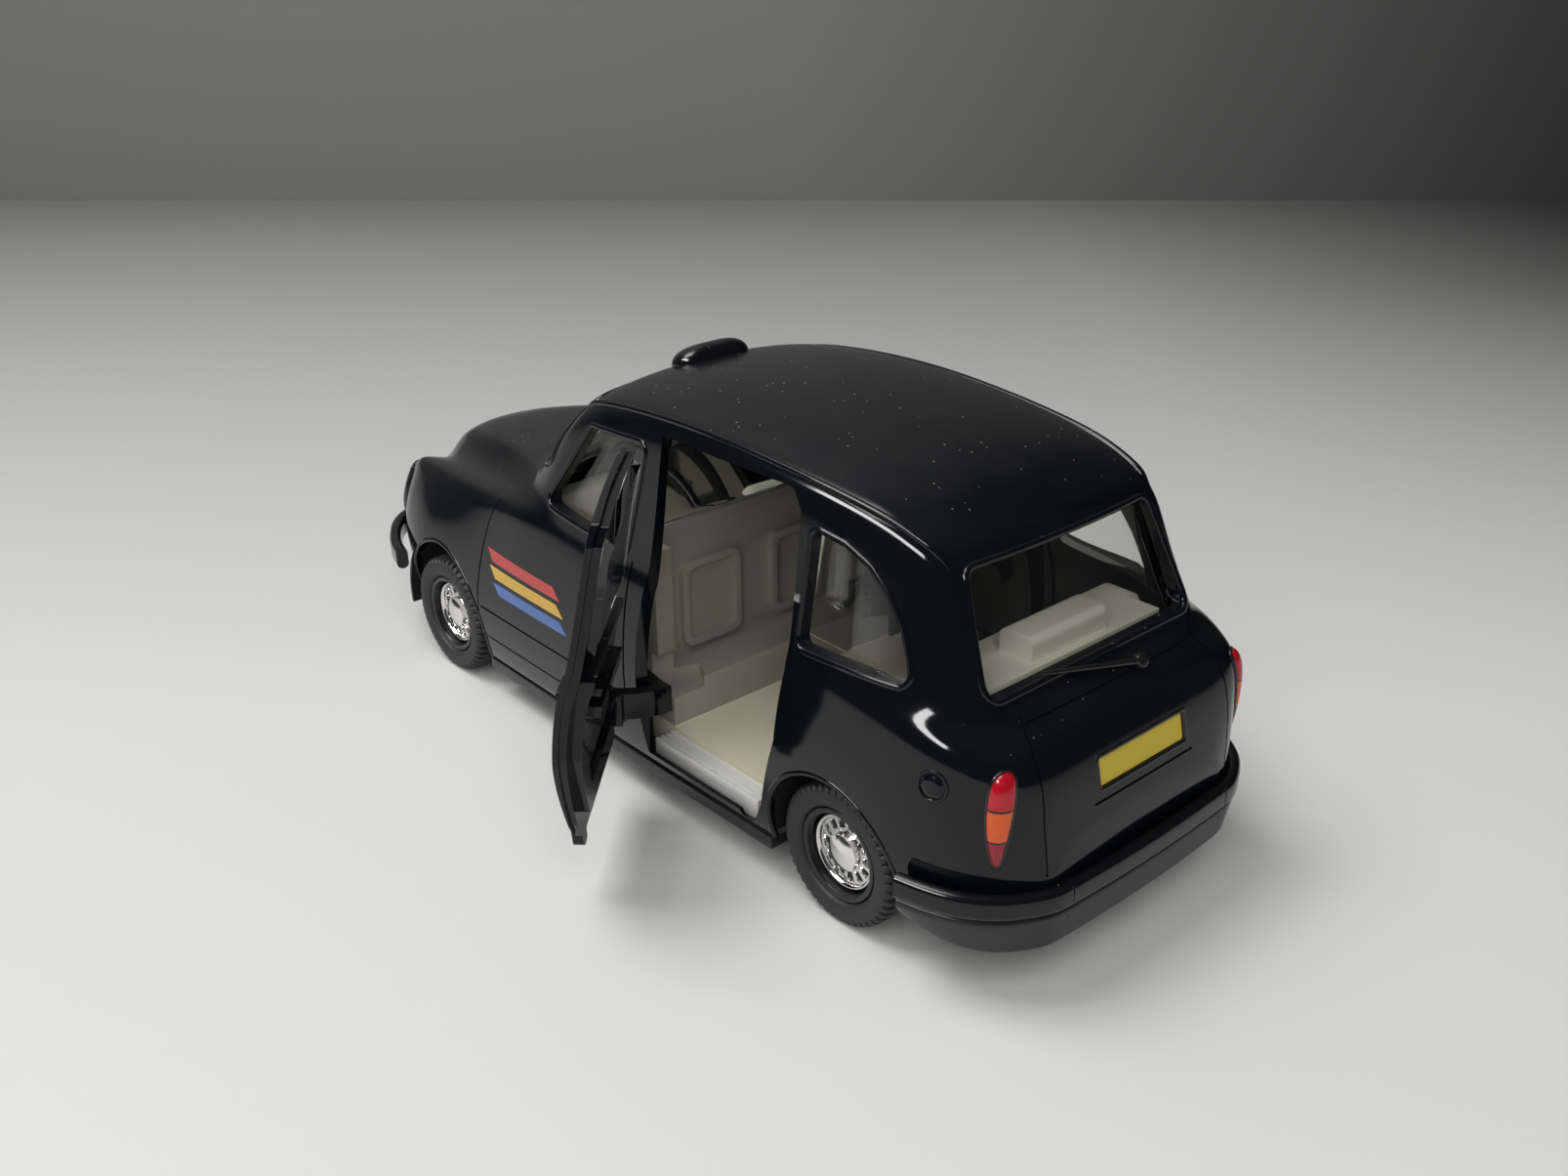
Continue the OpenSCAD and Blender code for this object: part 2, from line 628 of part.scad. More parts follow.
// Grille on the nose
grille_half = 7.4;
grille_z = [16, 21.4];
grille_t = 0.9;
grille_rim = 0.9;
grille_depth = 0.5;
grille_round = 1.2;
grille_bars = 7;
bar_half = 0.25;
module grille() {
    x = nose_x * sx;
    low = [-grille_half * sy, grille_z[0] * sz];
    high = [grille_half * sy, grille_z[1] * sz];
    rim = [grille_rim, grille_rim];
    pitch = 2 * grille_half * sy / (grille_bars + 1);
    color(steel) seated() {
        difference() {
            along_x(x, x + grille_t) soft_rect(low, high, grille_round);
            along_x(x + grille_t - grille_depth, x + 2 * grille_t)
                soft_rect(low + rim, high - rim, grille_round / 2);
        }
        for (i = [1:grille_bars])
            block([x, low[0] + i * pitch - bar_half, low[1] + grille_rim / 2],
                [x + grille_t - bar_half, low[0] + i * pitch + bar_half, high[1] - grille_rim / 2]);
    }
}

// Cabin moulding: floor, ledge, bulkhead with two folded seats
floor_z = base_top + floor_t;
cabin_half = 18.5;
tub_x = [-27.6, 26];
tub_tail_x = -33.4;
tail_room = 2.7;
tub_tail_half = inner_face - tail_room;
bulkhead_round = 1.2;
ledge_x = -6.9;
bulkhead_x = -0.2;
post_x = -3.2;
post_y = [15.2, 17.9];
post_drop = 1.4;
seat_y = [2.6, 12];
seat_z = [14.9, 26.6];
seat_rise = 0.9;
seat_ring = 1;
seat_rounds = [1.6, 1];
swing_r = 9.1;
swing_from = 95;
swing_to = 252;
swing_play = 0.4;
swing_boss_r = 2.2;
sector_steps = 8;
module sector(r, from, to) {
    polygon(concat([[0, 0]], [for (i = [0:sector_steps])
        let (a = from + (to - from) * i / sector_steps) [r * cos(a), r * sin(a)]]));
}
module arm_swing() {
    translate([hinge_x, hinge_y, (arm_z[0] - swing_play) * sz])
        linear_extrude((arm_z[1] - arm_z[0] + 2 * swing_play) * sz) {
            sector(swing_r, swing_from, swing_to);
            circle(swing_boss_r);
        }
}
module tip_seat() {
    along_x((bulkhead_x - seat_rise) * sx, bulkhead_x * sx + bite) difference() {
        soft_rect([seat_y[0] * sy, seat_z[0] * sz], [seat_y[1] * sy, seat_z[1] * sz], seat_rounds[0]);
        soft_rect([(seat_y[0] + seat_ring) * sy, (seat_z[0] + seat_ring) * sz],
            [(seat_y[1] - seat_ring) * sy, (seat_z[1] - seat_ring) * sz], seat_rounds[1]);
    }
}
module cabin_tub() {
    half = cabin_half * sy;
    color(warm_grey) seated() difference() {
        union() {
            block([tub_x[0] * sx, -half, base_top], [tub_x[1] * sx, half, floor_z]);
            block([tub_tail_x * sx, -tub_tail_half, base_top],
                [tub_x[0] * sx + bite, tub_tail_half, floor_z]);
            block([ledge_x * sx, -half, floor_z - bite], [bulkhead_x * sx + bite, half, ledge_z * sz]);
            along_x(bulkhead_x * sx, bulkhead_x * sx + bulkhead_t)
                soft_rect([-half, base_top], [half, bulkhead_z * sz], bulkhead_round);
            both_sides() {
                block([post_x * sx, post_y[0] * sy, ledge_z * sz - bite],
                    [bulkhead_x * sx + bite, post_y[1] * sy, (bulkhead_z - post_drop) * sz]);
                tip_seat();
            }
        }
        both_sides() arm_swing();
    }
}

// Strips under the rear doors
threshold_y = [18.5, 21.3];
threshold_x = [-25.6, -6.4];
threshold_h = 2.6;
threshold_ribs = 4;
rib_gap = 0.3;
rib_deep = 0.25;
module threshold() {
    width = (threshold_y[1] - threshold_y[0]) * sy;
    pitch = width / threshold_ribs;
    seated() difference() {
        block([threshold_x[0] * sx, threshold_y[0] * sy, base_top],
            [threshold_x[1] * sx, threshold_y[1] * sy, base_top + threshold_h]);
        for (i = [1:threshold_ribs - 1]) translate([0, threshold_y[0] * sy + i * pitch, 0])
            block([threshold_x[0] * sx - bite, -rib_gap / 2, base_top + threshold_h - rib_deep],
                [threshold_x[1] * sx + bite, rib_gap / 2, base_top + threshold_h + bite]);
    }
}
module left_threshold() {
    color(cream) threshold();
}
module right_threshold() {
    color(cream) mirror([0, 1, 0]) threshold();
}

// Rear bench with parcel shelf and headrest block
wheel_room = 2.3;
bench_half = inner_face - wheel_room;
cushion_round = 1.6;
bench_x = [-45.4, -31.6];
cushion_z = [12.4, 17.4];
back_x = [-47.4, -44];
back_z = 30.2;
back_half = 17.4;
back_round = 2.4;
back_lap = [2.6, 4];
shelf_x = -52;
shelf_half = 14.4;
shelf_t = 1.2;
apron_t = 1.4;
apron_drop = 2;
head_half = 6;
head_x = [-51, -46.6];
head_top = 32.9;
head_sink = 1;
head_round = 0.9;
module rear_bench() {
    color(warm_grey) seated() {
        along_y(-bench_half, bench_half)
            soft_rect([bench_x[0] * sx, cushion_z[0] * sz], [bench_x[1] * sx, cushion_z[1] * sz], cushion_round);
        block([(bench_x[1] - apron_t) * sx, -bench_half, floor_z],
            [bench_x[1] * sx, bench_half, (cushion_z[1] - apron_drop) * sz]);
        along_x(back_x[0] * sx, back_x[1] * sx) {
            block2([-bench_half, end_top], [bench_half, (cushion_z[1] + back_lap[1]) * sz]);
            soft_rect([-back_half * sy, (cushion_z[1] + back_lap[0]) * sz],
                [back_half * sy, back_z * sz], back_round);
        }
        block([shelf_x * sx, -shelf_half * sy, (back_z - shelf_t) * sz],
            [back_x[0] * sx + bite, shelf_half * sy, back_z * sz - bite]);
        along_y(-head_half * sy, head_half * sy)
            soft_rect([head_x[0] * sx, (back_z - head_sink) * sz], [head_x[1] * sx, head_top * sz],
                head_round);
    }
}

// Front cabin
driver_y = -9.5;
driver_half = 5.5;
driver_x = [5.4, 16];
driver_cushion_z = [13, 17];
driver_stand_z = 14;
stand_inset = [1.5, 1];
driver_rounds = [1.4, 2.2];
driver_back_z = 31;
driver_back_t = 2.8;
module driver_seat() {
    color(warm_grey) seated() translate([0, driver_y * sy, 0]) {
        along_y(-driver_half * sy, driver_half * sy) soft_rect([driver_x[0] * sx, driver_cushion_z[0] * sz],
            [driver_x[1] * sx, driver_cushion_z[1] * sz], driver_rounds[0]);
        block([(driver_x[0] + stand_inset[0]) * sx, -(driver_half - stand_inset[1]) * sy, floor_z],
            [(driver_x[1] - stand_inset[0]) * sx, (driver_half - stand_inset[1]) * sy,
                driver_stand_z * sz]);
        along_x(driver_x[0] * sx, driver_x[0] * sx + driver_back_t)
            soft_rect([-driver_half * sy, driver_stand_z * sz], [driver_half * sy, driver_back_z * sz],
                driver_rounds[1]);
    }
}
dash_x = [20.4, 25.6];
dash_z = [23, 30];
dash_half = 15.4;
dash_round = 1.5;
dash_leg_x = [2.4, 0.8];
dash_lap = 2;
module dashboard() {
    color(warm_grey) seated() {
        along_y(-dash_half * sy, dash_half * sy)
            soft_rect([dash_x[0] * sx, dash_z[0] * sz], [dash_x[1] * sx, dash_z[1] * sz], dash_round);
        block([(dash_x[1] - dash_leg_x[0]) * sx, -dash_half * sy, floor_z],
            [(dash_x[1] - dash_leg_x[1]) * sx, dash_half * sy, (dash_z[0] + dash_lap) * sz]);
    }
}
wheel_ring = [3.3, 0.42];
wheel_tilt = -62;
column_r = 0.7;
column_l = 4.2;
column_sink = 1;
column_rise = 2.6;
spoke_half = [0.4, 0.35];
spoke_angles = [0, 120, 240];
wheel_box = 12;
module steering_wheel() {
    color(black) seated() translate([dash_x[0] * sx, driver_y * sy, (dash_z[0] + column_rise) * sz])
        intersection() {
            rotate([0, wheel_tilt, 0]) {
                translate([0, 0, -column_sink]) cylinder(r = column_r, h = column_l + column_sink);
                translate([0, 0, column_l]) {
                    rotate_extrude() translate([wheel_ring[0], 0]) circle(wheel_ring[1]);
                    for (a = spoke_angles) rotate([0, 0, a])
                        block([0, -spoke_half[0], -spoke_half[1]], [wheel_ring[0], spoke_half[0], spoke_half[1]]);
                }
            }
            block([-wheel_box, -wheel_box, -wheel_box], [0, wheel_box, wheel_box]);
        }
}

// Clear mouldings behind the windows, sheets that follow the inside of the wall
crown_j = guides - 1;
front_foot = [[14.5, 5], [22.4, 6.7]];
rear_foot = [[-54.6, 5], [-32.4, 5]];
sheet_cuts = 5;
function chord(x, j, d) =
    let (k = min(floor(j), crown_j - 1), t = j - k) (1 - t) * skin(x, k, d) + t * skin(x, k + 1, d);
function foot_j(foot, x) =
    let (t = (x - foot[0][0]) / (foot[1][0] - foot[0][0])) foot[0][1] + max(0, t) * (foot[1][1] - foot[0][1]);
function arch_row(x, foot, d) =
    let (j0 = foot_j(foot, x),
        half = [for (k = [0:sheet_cuts]) chord(x, j0 + (crown_j - j0) * k / sheet_cuts, d)])
    concat(half, [for (k = [sheet_cuts - 1:-1:0]) [half[k][0], -half[k][1], half[k][2]]]);
module sheet(outer, inner) {
    n = len(outer[0]);
    last = len(outer) - 1;
    under = len(outer) * n;
    function quad(a, b, c, d) = [[a, b, c], [a, c, d]];
    polyhedron(
        points = concat([for (row = outer) each row], [for (row = inner) each row]),
        faces = [
            for (i = [0:last - 1], k = [0:n - 2]) let (a = i * n + k) each concat(
                quad(a + 1, a, a + n, a + n + 1),
                quad(under + a + n, under + a, under + a + 1, under + a + n + 1)),
            for (k = [0:n - 2]) each quad(k, k + 1, under + k + 1, under + k),
            for (k = [0:n - 2]) let (a = last * n + k) each quad(a + 1, a, under + a, under + a + 1),
            for (i = [0:last - 1]) let (a = i * n) each quad(a + n, a, under + a, under + a + n),
            for (i = [0:last - 1]) let (a = i * n + n - 1) each quad(a, a + n, under + a + n, under + a)],
        convexity = 6);
}
glass_out = wall + glass_gap;
glass_in = glass_out + glass_t;
module canopy(range, foot) {
    places = [for (x = stations(0)) if (x >= range[0] && x <= range[1]) x];
    sheet([for (x = places) arch_row(x, foot, glass_out)], [for (x = places) arch_row(x, foot, glass_in)]);
}
module front_glazing() {
    color(clear) seated() canopy(front_clear_x, front_foot);
}
module rear_glazing() {
    color(clear) seated() canopy(rear_clear_x, rear_foot);
}
screen_foot = 17.6;
screen_top = [14.2, 44.6];
screen_set = 0.5;
screen_bevel = 1;
module partition_screen() {
    x = (bulkhead_x + screen_set) * sx;
    color(clear) seated() along_x(x, x + glass_t) polygon([
        [-(screen_foot - screen_bevel) * sy, bulkhead_z * sz],
        [(screen_foot - screen_bevel) * sy, bulkhead_z * sz],
        [screen_foot * sy, (bulkhead_z + screen_bevel) * sz], [screen_top[0] * sy, screen_top[1] * sz],
        [-screen_top[0] * sy, screen_top[1] * sz],
        [-screen_foot * sy, (bulkhead_z + screen_bevel) * sz]]);
}

// Rear doors, drawn shut on the left and then swung about the hinge pin
panel_depth = 2.5;
panel_round = 0.8;
pocket_round = 0.6;
pocket_sink = [0.5, 0.4];
rest_round = 0.5;
rest_rise = 1;
pull_round = 0.4;
pull_rise = 0.7;
handle_round = 0.35;
handle_rise = 0.5;
slab_weld = 0.4;
panel_outline = [[-10.2, 11.4], [-25.6, 11.4], [-28, 19], [-28.4, 28.4], [-10.2, 28.4]];
pocket_outline = [[-12.4, 13.6], [-23.2, 13.6], [-24.3, 18], [-12.4, 18]];
rest_outline = [[-12, 22.4], [-24.8, 22.4], [-24.8, 23.4], [-12, 23.4]];
pull_outline = [[-25.4, 25.3], [-22.5, 25.3], [-22.5, 25.9], [-25.4, 25.9]];
handle_outline = [[-28, 26], [-24.6, 26], [-24.6, 26.5], [-28, 26.5]];

// Pad on a door for the foot of its hinge arm, measured from the hinge axis
pad_x = [-10.6, -7.6];
pad_y = [1, 2.8];
pad_z = [12.8, 16.6];
contact_y = hinge_y + pad_y[0];
tab_outline = [[-26, 7.2], [-25.2, 7.2], [-25.2, 8.6], [-26, 8.6]];
tab_round = 0.7;
module swung(open) {
    translate([hinge_x, hinge_y, 0]) rotate([0, 0, -open])
        translate([-hinge_x, -hinge_y, 0]) children();
}
module door_slab(outline, r, from, to) {
    difference() {
        intersection() {
            loft(from);
            along_y(side_cut_y, reach_y) rounded(flat_xz(outline), r);
        }
        loft(to);
    }
}
module door() {
    difference() {
        union() {
            door_slab(door_outline, door_round, 0, wall);
            door_slab(panel_outline, panel_round, wall - slab_weld, panel_depth);
            door_slab(rest_outline, rest_round, panel_depth - slab_weld, panel_depth + rest_rise);
            door_slab(pull_outline, pull_round, panel_depth - slab_weld, panel_depth + pull_rise);
            door_slab(handle_outline, handle_round, -handle_rise, slab_weld);
            door_slab(tab_outline, tab_round, 0, wall);
            block([hinge_x + pad_x[0], contact_y, pad_z[0] * sz],
                [hinge_x + pad_x[1], hinge_y + pad_y[1], pad_z[1] * sz]);
        }
        along_y(side_cut_y, reach_y) rounded(flat_xz(door_window), window_round);
        door_slab(pocket_outline, pocket_round, panel_depth - pocket_sink[0], panel_depth + pocket_sink[1]);
        block([hinge_x + foot_x[0] - seat_play, 0, arm_z[0] * sz - seat_play],
            [hinge_x, contact_y, arm_z[1] * sz + seat_play]);
        hinge_round(hinge_r);
    }
}
module left_door() {
    color(black) seated() swung(left_open) door();
}
module right_door() {
    color(black) seated() mirror([0, 1, 0]) swung(right_open) door();
}
pane_x = [-30.2, -9.4];
pane_j = [5.15, 6, 6.9];
module door_glass() {
    places = concat([pane_x[0]], [for (x = stations(0)) if (x > pane_x[0] && x < pane_x[1]) x], [pane_x[1]]);
    sheet([for (x = places) [for (j = pane_j) chord(x, j, glass_out)]],
        [for (x = places) [for (j = pane_j) chord(x, j, glass_in)]]);
}
module left_door_glass() {
    color(clear) seated() swung(left_open) door_glass();
}
module right_door_glass() {
    color(clear) seated() mirror([0, 1, 0]) swung(right_open) door_glass();
}

// Curved hinge arms and their pins, measured from the hinge axis
boss_r = 1.6;
arm_r = [7.05, 8.7];
arm_half = 0.8;
arm_end = 166;
arm_cut_x = -5;
foot_x = [-10.4, -7.7];
foot_t = 1.5;
seat_play = 0.1;
arm_lap = 7;
arc_steps = 12;
module at_hinge() {
    translate([hinge_x, hinge_y]) children();
}
function arc(r, from, to) = [for (i = [0:arc_steps])
    let (a = from + (to - from) * i / arc_steps) r * [cos(a), sin(a)]];
module arm_outline() {
    difference() {
        at_hinge() {
            circle(boss_r);
            rotate(arm_angle) block2([0, -arm_half], [(arm_r[0] + arm_r[1]) / 2, arm_half]);
            polygon(concat(arc(arm_r[1], arm_end, arm_angle + arm_lap),
                arc(arm_r[0], arm_angle + arm_lap, arm_end)));
        }
        at_hinge() circle(pin_d / 2 + pin_play);
        block2([hinge_x - 2 * hinge_r, contact_y], [hinge_x + arm_cut_x, reach_y]);
    }
    block2([hinge_x + foot_x[0], contact_y - foot_t], [hinge_x + foot_x[1], contact_y]);
}
module hinge_arm() {
    seated() translate([0, 0, arm_z[0] * sz]) linear_extrude((arm_z[1] - arm_z[0]) * sz) arm_outline();
}
module left_hinge_arm() {
    color(black) swung(left_open) hinge_arm();
}
module right_hinge_arm() {
    color(black) mirror([0, 1, 0]) swung(right_open) hinge_arm();
}
pin_head_r = 1.2;
pin_head_t = 0.8;
pin_over = 0.2;
module hinge_pin() {
    foot = ear_z[0] * sz - pin_sink;
    top = (arm_z[1] + pin_over) * sz;
    seated() translate([hinge_x, hinge_y, 0]) {
        translate([0, 0, foot]) cylinder(d = pin_d, h = top - foot);
        translate([0, 0, top]) cylinder(r = pin_head_r, h = pin_head_t);
    }
}
module left_hinge_pin() {
    color(steel) hinge_pin();
}
module right_hinge_pin() {
    color(steel) mirror([0, 1, 0]) hinge_pin();
}

// Lamps
tail_lamp_at = [-59.4, 3];
tail_lamp_size = [0.85, 1.05];
headlamp_at = [61.2, 3.05];
headlamp_size = [1.9, 0.95];
headlamp_bulge = 1.1;
lamp_sink = 0.25;
module tail_lamp() {
    seated() blister(tail_lamp_at, tail_lamp_size, lamp_bulge, lamp_sink);
}
module headlamp() {
    seated() blister(headlamp_at, headlamp_size, headlamp_bulge, lamp_sink);
}
module left_tail_lamp() {
    color(red) tail_lamp();
}
module right_tail_lamp() {
    color(red) mirror([0, 1, 0]) tail_lamp();
}
module left_headlamp() {
    color(clear) headlamp();
}
module right_headlamp() {
    color(clear) mirror([0, 1, 0]) headlamp();
}

// Roof sign: a dome in slices, cut to sit on the roof, with a lens in front
sign_at = [7.2, 0, 48.7];
sign_l = 5.6;
sign_tilt = 21;
sign_slices = 8;
sign_fn = 28;
sign_sink = 1.4;
slice_t = 0.05;
dome_drop = 0.72;
function dome(t) = sqrt(1 - dome_drop * t * t);
module sign_plan(f) {
    hull() for (side = [1, -1])
        translate([0, side * (sign_w - sign_l) / 2 * f]) circle(sign_l / 2 * f, $fn = sign_fn);
}
module sign_slice(t) {
    translate([0, 0, t * sign_h]) linear_extrude(slice_t) sign_plan(dome(t));
}
module roof_sign() {
    color(black) seated() difference() {
        translate(at3(sign_at)) rotate([0, sign_tilt, 0]) {
            translate([0, 0, -sign_sink]) linear_extrude(sign_sink + 2 * slice_t) sign_plan(1);
            for (i = [0:sign_slices - 1]) hull() {
                sign_slice(i / sign_slices);
                sign_slice((i + 1) / sign_slices);
            }
        }
        loft(0);
        lens_block();
    }
}
lens_half = 2.5;
lens_h = 1.1;
lens_rise = 0.5;
lens_sink = 0.9;
lens_round = 0.4;
module lens_block() {
    face = sign_l / 2 * dome(lens_rise);
    translate(at3(sign_at)) rotate([0, sign_tilt, 0]) translate([0, 0, sign_h * lens_rise])
        along_x(face - lens_sink, face + lens_round / 2)
            soft_rect([-lens_half, -lens_h / 2], [lens_half, lens_h / 2], lens_round);
}
module sign_lens() {
    color(amber) seated() lens_block();
}

// Rear plate in its pocket, and the wiper on the tailgate
plate_corner = 0.3;
module rear_plate() {
    color(yellow) seated() on_tail(rear_plate_at) along_x(-plate_t, 0)
        soft_rect([-plate_w / 2, -plate_h / 2], [plate_w / 2, plate_h / 2], plate_corner);
}
wiper_from = [-57.3, -4.6, 29.2];
wiper_to = [-54.9, 9, 31.6];
wiper_r = 0.35;
wiper_boss_r = 0.9;
wiper_boss_h = 1.2;
wiper_boss_sink = 1;
wiper_lean = 35;
wiper_fn = 12;
module rear_wiper() {
    color(satin) seated() {
        hull() {
            translate(at3(wiper_from)) sphere(wiper_r, $fn = wiper_fn);
            translate(at3(wiper_to)) sphere(wiper_r, $fn = wiper_fn);
        }
        translate(at3(wiper_from)) rotate([0, -wiper_lean, 0]) translate([0, 0, -wiper_boss_sink])
            cylinder(r = wiper_boss_r, h = wiper_boss_h);
    }
}

body_shell();
base_plate();
base_screws();
front_bumper();
rear_bumper();
grille();
cabin_tub();
rear_bench();
driver_seat();
dashboard();
steering_wheel();
left_threshold();
right_threshold();
front_glazing();
rear_glazing();
partition_screen();
left_door();
right_door();
left_door_glass();
right_door_glass();
left_hinge_arm();
right_hinge_arm();
left_hinge_pin();
right_hinge_pin();
front_axle();
rear_axle();
front_left_tyre();
front_right_tyre();
rear_left_tyre();
rear_right_tyre();
front_left_rim();
front_right_rim();
rear_left_rim();
rear_right_rim();
front_left_hub();
front_right_hub();
rear_left_hub();
rear_right_hub();
left_tail_lamp();
right_tail_lamp();
left_headlamp();
right_headlamp();
roof_sign();
sign_lens();
rear_plate();
rear_wiper();
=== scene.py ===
"""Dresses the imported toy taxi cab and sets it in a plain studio.

Sizes are millimetres, X forward, Y to the cab's left and Z up from the floor. lay_grid() moves
points from there to the frame, whose origin is on the underside of the base plate, in metres.
"""

import logging
import math
from dataclasses import dataclass
from enum import Enum
from typing import Sequence

import bpy
import numpy as np
from mathutils import Matrix, Vector
from mathutils.bvhtree import BVHTree


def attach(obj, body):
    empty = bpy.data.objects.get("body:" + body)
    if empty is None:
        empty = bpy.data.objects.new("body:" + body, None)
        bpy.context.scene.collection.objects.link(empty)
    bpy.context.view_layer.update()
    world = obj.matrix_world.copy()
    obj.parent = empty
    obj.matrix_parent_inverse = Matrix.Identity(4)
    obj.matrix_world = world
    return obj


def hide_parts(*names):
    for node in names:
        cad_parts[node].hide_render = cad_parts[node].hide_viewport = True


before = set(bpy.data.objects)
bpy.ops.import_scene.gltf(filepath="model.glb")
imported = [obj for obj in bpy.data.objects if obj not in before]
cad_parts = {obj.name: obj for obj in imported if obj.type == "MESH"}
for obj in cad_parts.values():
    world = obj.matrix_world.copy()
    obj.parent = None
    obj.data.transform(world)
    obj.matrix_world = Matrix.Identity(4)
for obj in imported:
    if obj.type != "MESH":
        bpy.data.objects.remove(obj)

LOG = logging.getLogger("taxi")
MM = 0.001
BASE_Z = 4.0
WALL = 1.3
PANE_DEPTHS = (1.36, 2.14)
AXLE_Z = 8.4
FRONT_AXLE_X = 40.4
REAR_AXLE_X = -39.8
WELD = 1e-6
ROUND_STEPS = 3
# Angles in degrees: faces that turn less are one face, and edges that turn more stay sharp
FLAT_ANGLE = 0.3
BEAD_ANGLE = 60.0
BULGE_ANGLE = 50.0
TURNED_ANGLE = 40.0

Colour = tuple[float, float, float]
Direction = tuple[float, float, float]
Corners = Sequence[tuple[float, float]]
Line = Sequence[tuple[float, float, float]]
Mesh = bpy.types.Object
Socket = bpy.types.NodeSocket
Value = Socket | float | Colour


class Part(Enum):
    """CAD bodies that pieces ride on."""

    CAB = "cab"
    LEFT_DOOR = "left_door_leaf"
    RIGHT_DOOR = "right_door_leaf"
    FRONT_WHEELS = "front_wheelset"
    REAR_WHEELS = "rear_wheelset"


class Cap(Enum):
    """Ways to close the two ends of a loft."""

    CENTRE = "a fan to the middle of the end loop"
    SHEET = "the end loop folded flat, for a thin sheet"
    RING = "the last loop joined to the first"


class Cut(Enum):
    """Boolean operations."""

    DIFFERENCE = "DIFFERENCE"
    UNION = "UNION"
    INTERSECT = "INTERSECT"


class Axis(Enum):
    """Axis that a prism runs along, by its place in a point."""

    X = 0
    Y = 1
    Z = 2


class LampUse(Enum):
    """What a studio lamp does."""

    LIGHT = "lights surfaces and shows in no gloss"
    SHINE = "shows in gloss alone"
    BOTH = "lights surfaces and shows in gloss"


class View(Enum):
    """Side from which a flat outline is laid on the skin: start distance, axis and direction."""

    LEFT = (60.0, Axis.Y, (0.0, -1.0, 0.0))
    TAIL = (-90.0, Axis.X, (1.0, 0.0, 0.0))
    NOSE = (90.0, Axis.X, (-1.0, 0.0, 0.0))


# Mesh tools


def pick(obj: Mesh) -> None:
    """Selects one object alone and makes it active.

    Args:
        obj: The object to select.
    """
    bpy.ops.object.select_all(action="DESELECT")
    obj.select_set(True)
    bpy.context.view_layer.objects.active = obj


def lay_grid(name: str, points: np.ndarray) -> Mesh:
    """Adds a grid and moves its vertices onto a surface.

    Args:
        name: Name of the new object.
        points: Places of the vertices, rows x columns x 3, in millimetres above the floor.

    Returns:
        The new object.
    """
    rows, columns = points.shape[:2]
    bpy.ops.object.select_all(action="DESELECT")
    bpy.ops.mesh.primitive_grid_add(x_subdivisions=columns - 1, y_subdivisions=rows - 1, location=(0, 0, 0))
    obj = bpy.context.object
    obj.name = name
    obj.data.name = name
    obj.data.vertices.foreach_set("co", ((points - (0.0, 0.0, BASE_Z)) * MM).ravel())
    obj.data.update()
    return obj


def weld(obj: Mesh) -> None:
    """Merges coincident vertices and turns the faces outward.

    Args:
        obj: The object to mend.
    """
    pick(obj)
    bpy.ops.object.mode_set(mode="EDIT")
    bpy.ops.mesh.select_all(action="SELECT")
    bpy.ops.mesh.remove_doubles(threshold=WELD)
    bpy.ops.mesh.normals_make_consistent(inside=False)
    bpy.ops.object.mode_set(mode="OBJECT")


def smooth(obj: Mesh, degrees: float = 32.0) -> Mesh:
    """Shades an object smooth, with sharp edges where it turns more than an angle.

    Args:
        obj: The object to shade.
        degrees: The angle from which an edge stays sharp.

    Returns:
        The same object.
    """
    pick(obj)
    bpy.ops.object.shade_smooth_by_angle(angle=math.radians(degrees))
    return obj


def loft(name: str, loops: np.ndarray, cap: Cap = Cap.CENTRE) -> Mesh:
    """Joins closed loops of points into a closed solid.

    Args:
        name: Name of the new object.
        loops: Loops x points x 3, in millimetres above the floor.
        cap: How the first and last loops are closed.

    Returns:
        The welded solid.
    """
    first, last = loops[:1], loops[-1:]
    if cap is Cap.RING:
        rows = np.concatenate([loops, first])
    elif cap is Cap.SHEET:
        rows = np.concatenate([(first + first[:, ::-1]) / 2, loops, (last + last[:, ::-1]) / 2])
    else:
        middles = [np.broadcast_to(end.mean(axis=1, keepdims=True), end.shape) for end in (first, last)]
        rows = np.concatenate([middles[0], loops, middles[1]])
    obj = lay_grid(name, np.concatenate([rows, rows[:, :1]], axis=1))
    weld(obj)
    return obj


def sheet(name: str, outer: np.ndarray, inner: np.ndarray) -> Mesh:
    """Makes a thin closed sheet between two grids of points.

    Args:
        name: Name of the new object.
        outer: Rows x columns x 3 points of one face.
        inner: The points of the other face.

    Returns:
        The welded sheet.
    """
    return loft(name, np.concatenate([outer, inner[:, ::-1]], axis=1), Cap.SHEET)


def prism(name: str, outline: np.ndarray, axis: Axis, start: float, stop: float) -> Mesh:
    """Extrudes a flat outline along an axis.

    Args:
        name: Name of the new object.
        outline: Points x 2, in the other two axes in order.
        axis: Axis to extrude along.
        start: Where the prism begins.
        stop: Where it ends.

    Returns:
        The prism.
    """
    return loft(name, np.array([np.insert(outline, axis.value, place, axis=1) for place in (start, stop)]))


def discard(*pieces: Mesh) -> None:
    """Removes objects that are no longer needed.

    Args:
        pieces: The objects.
    """
    for piece in pieces:
        bpy.data.objects.remove(piece, do_unlink=True)


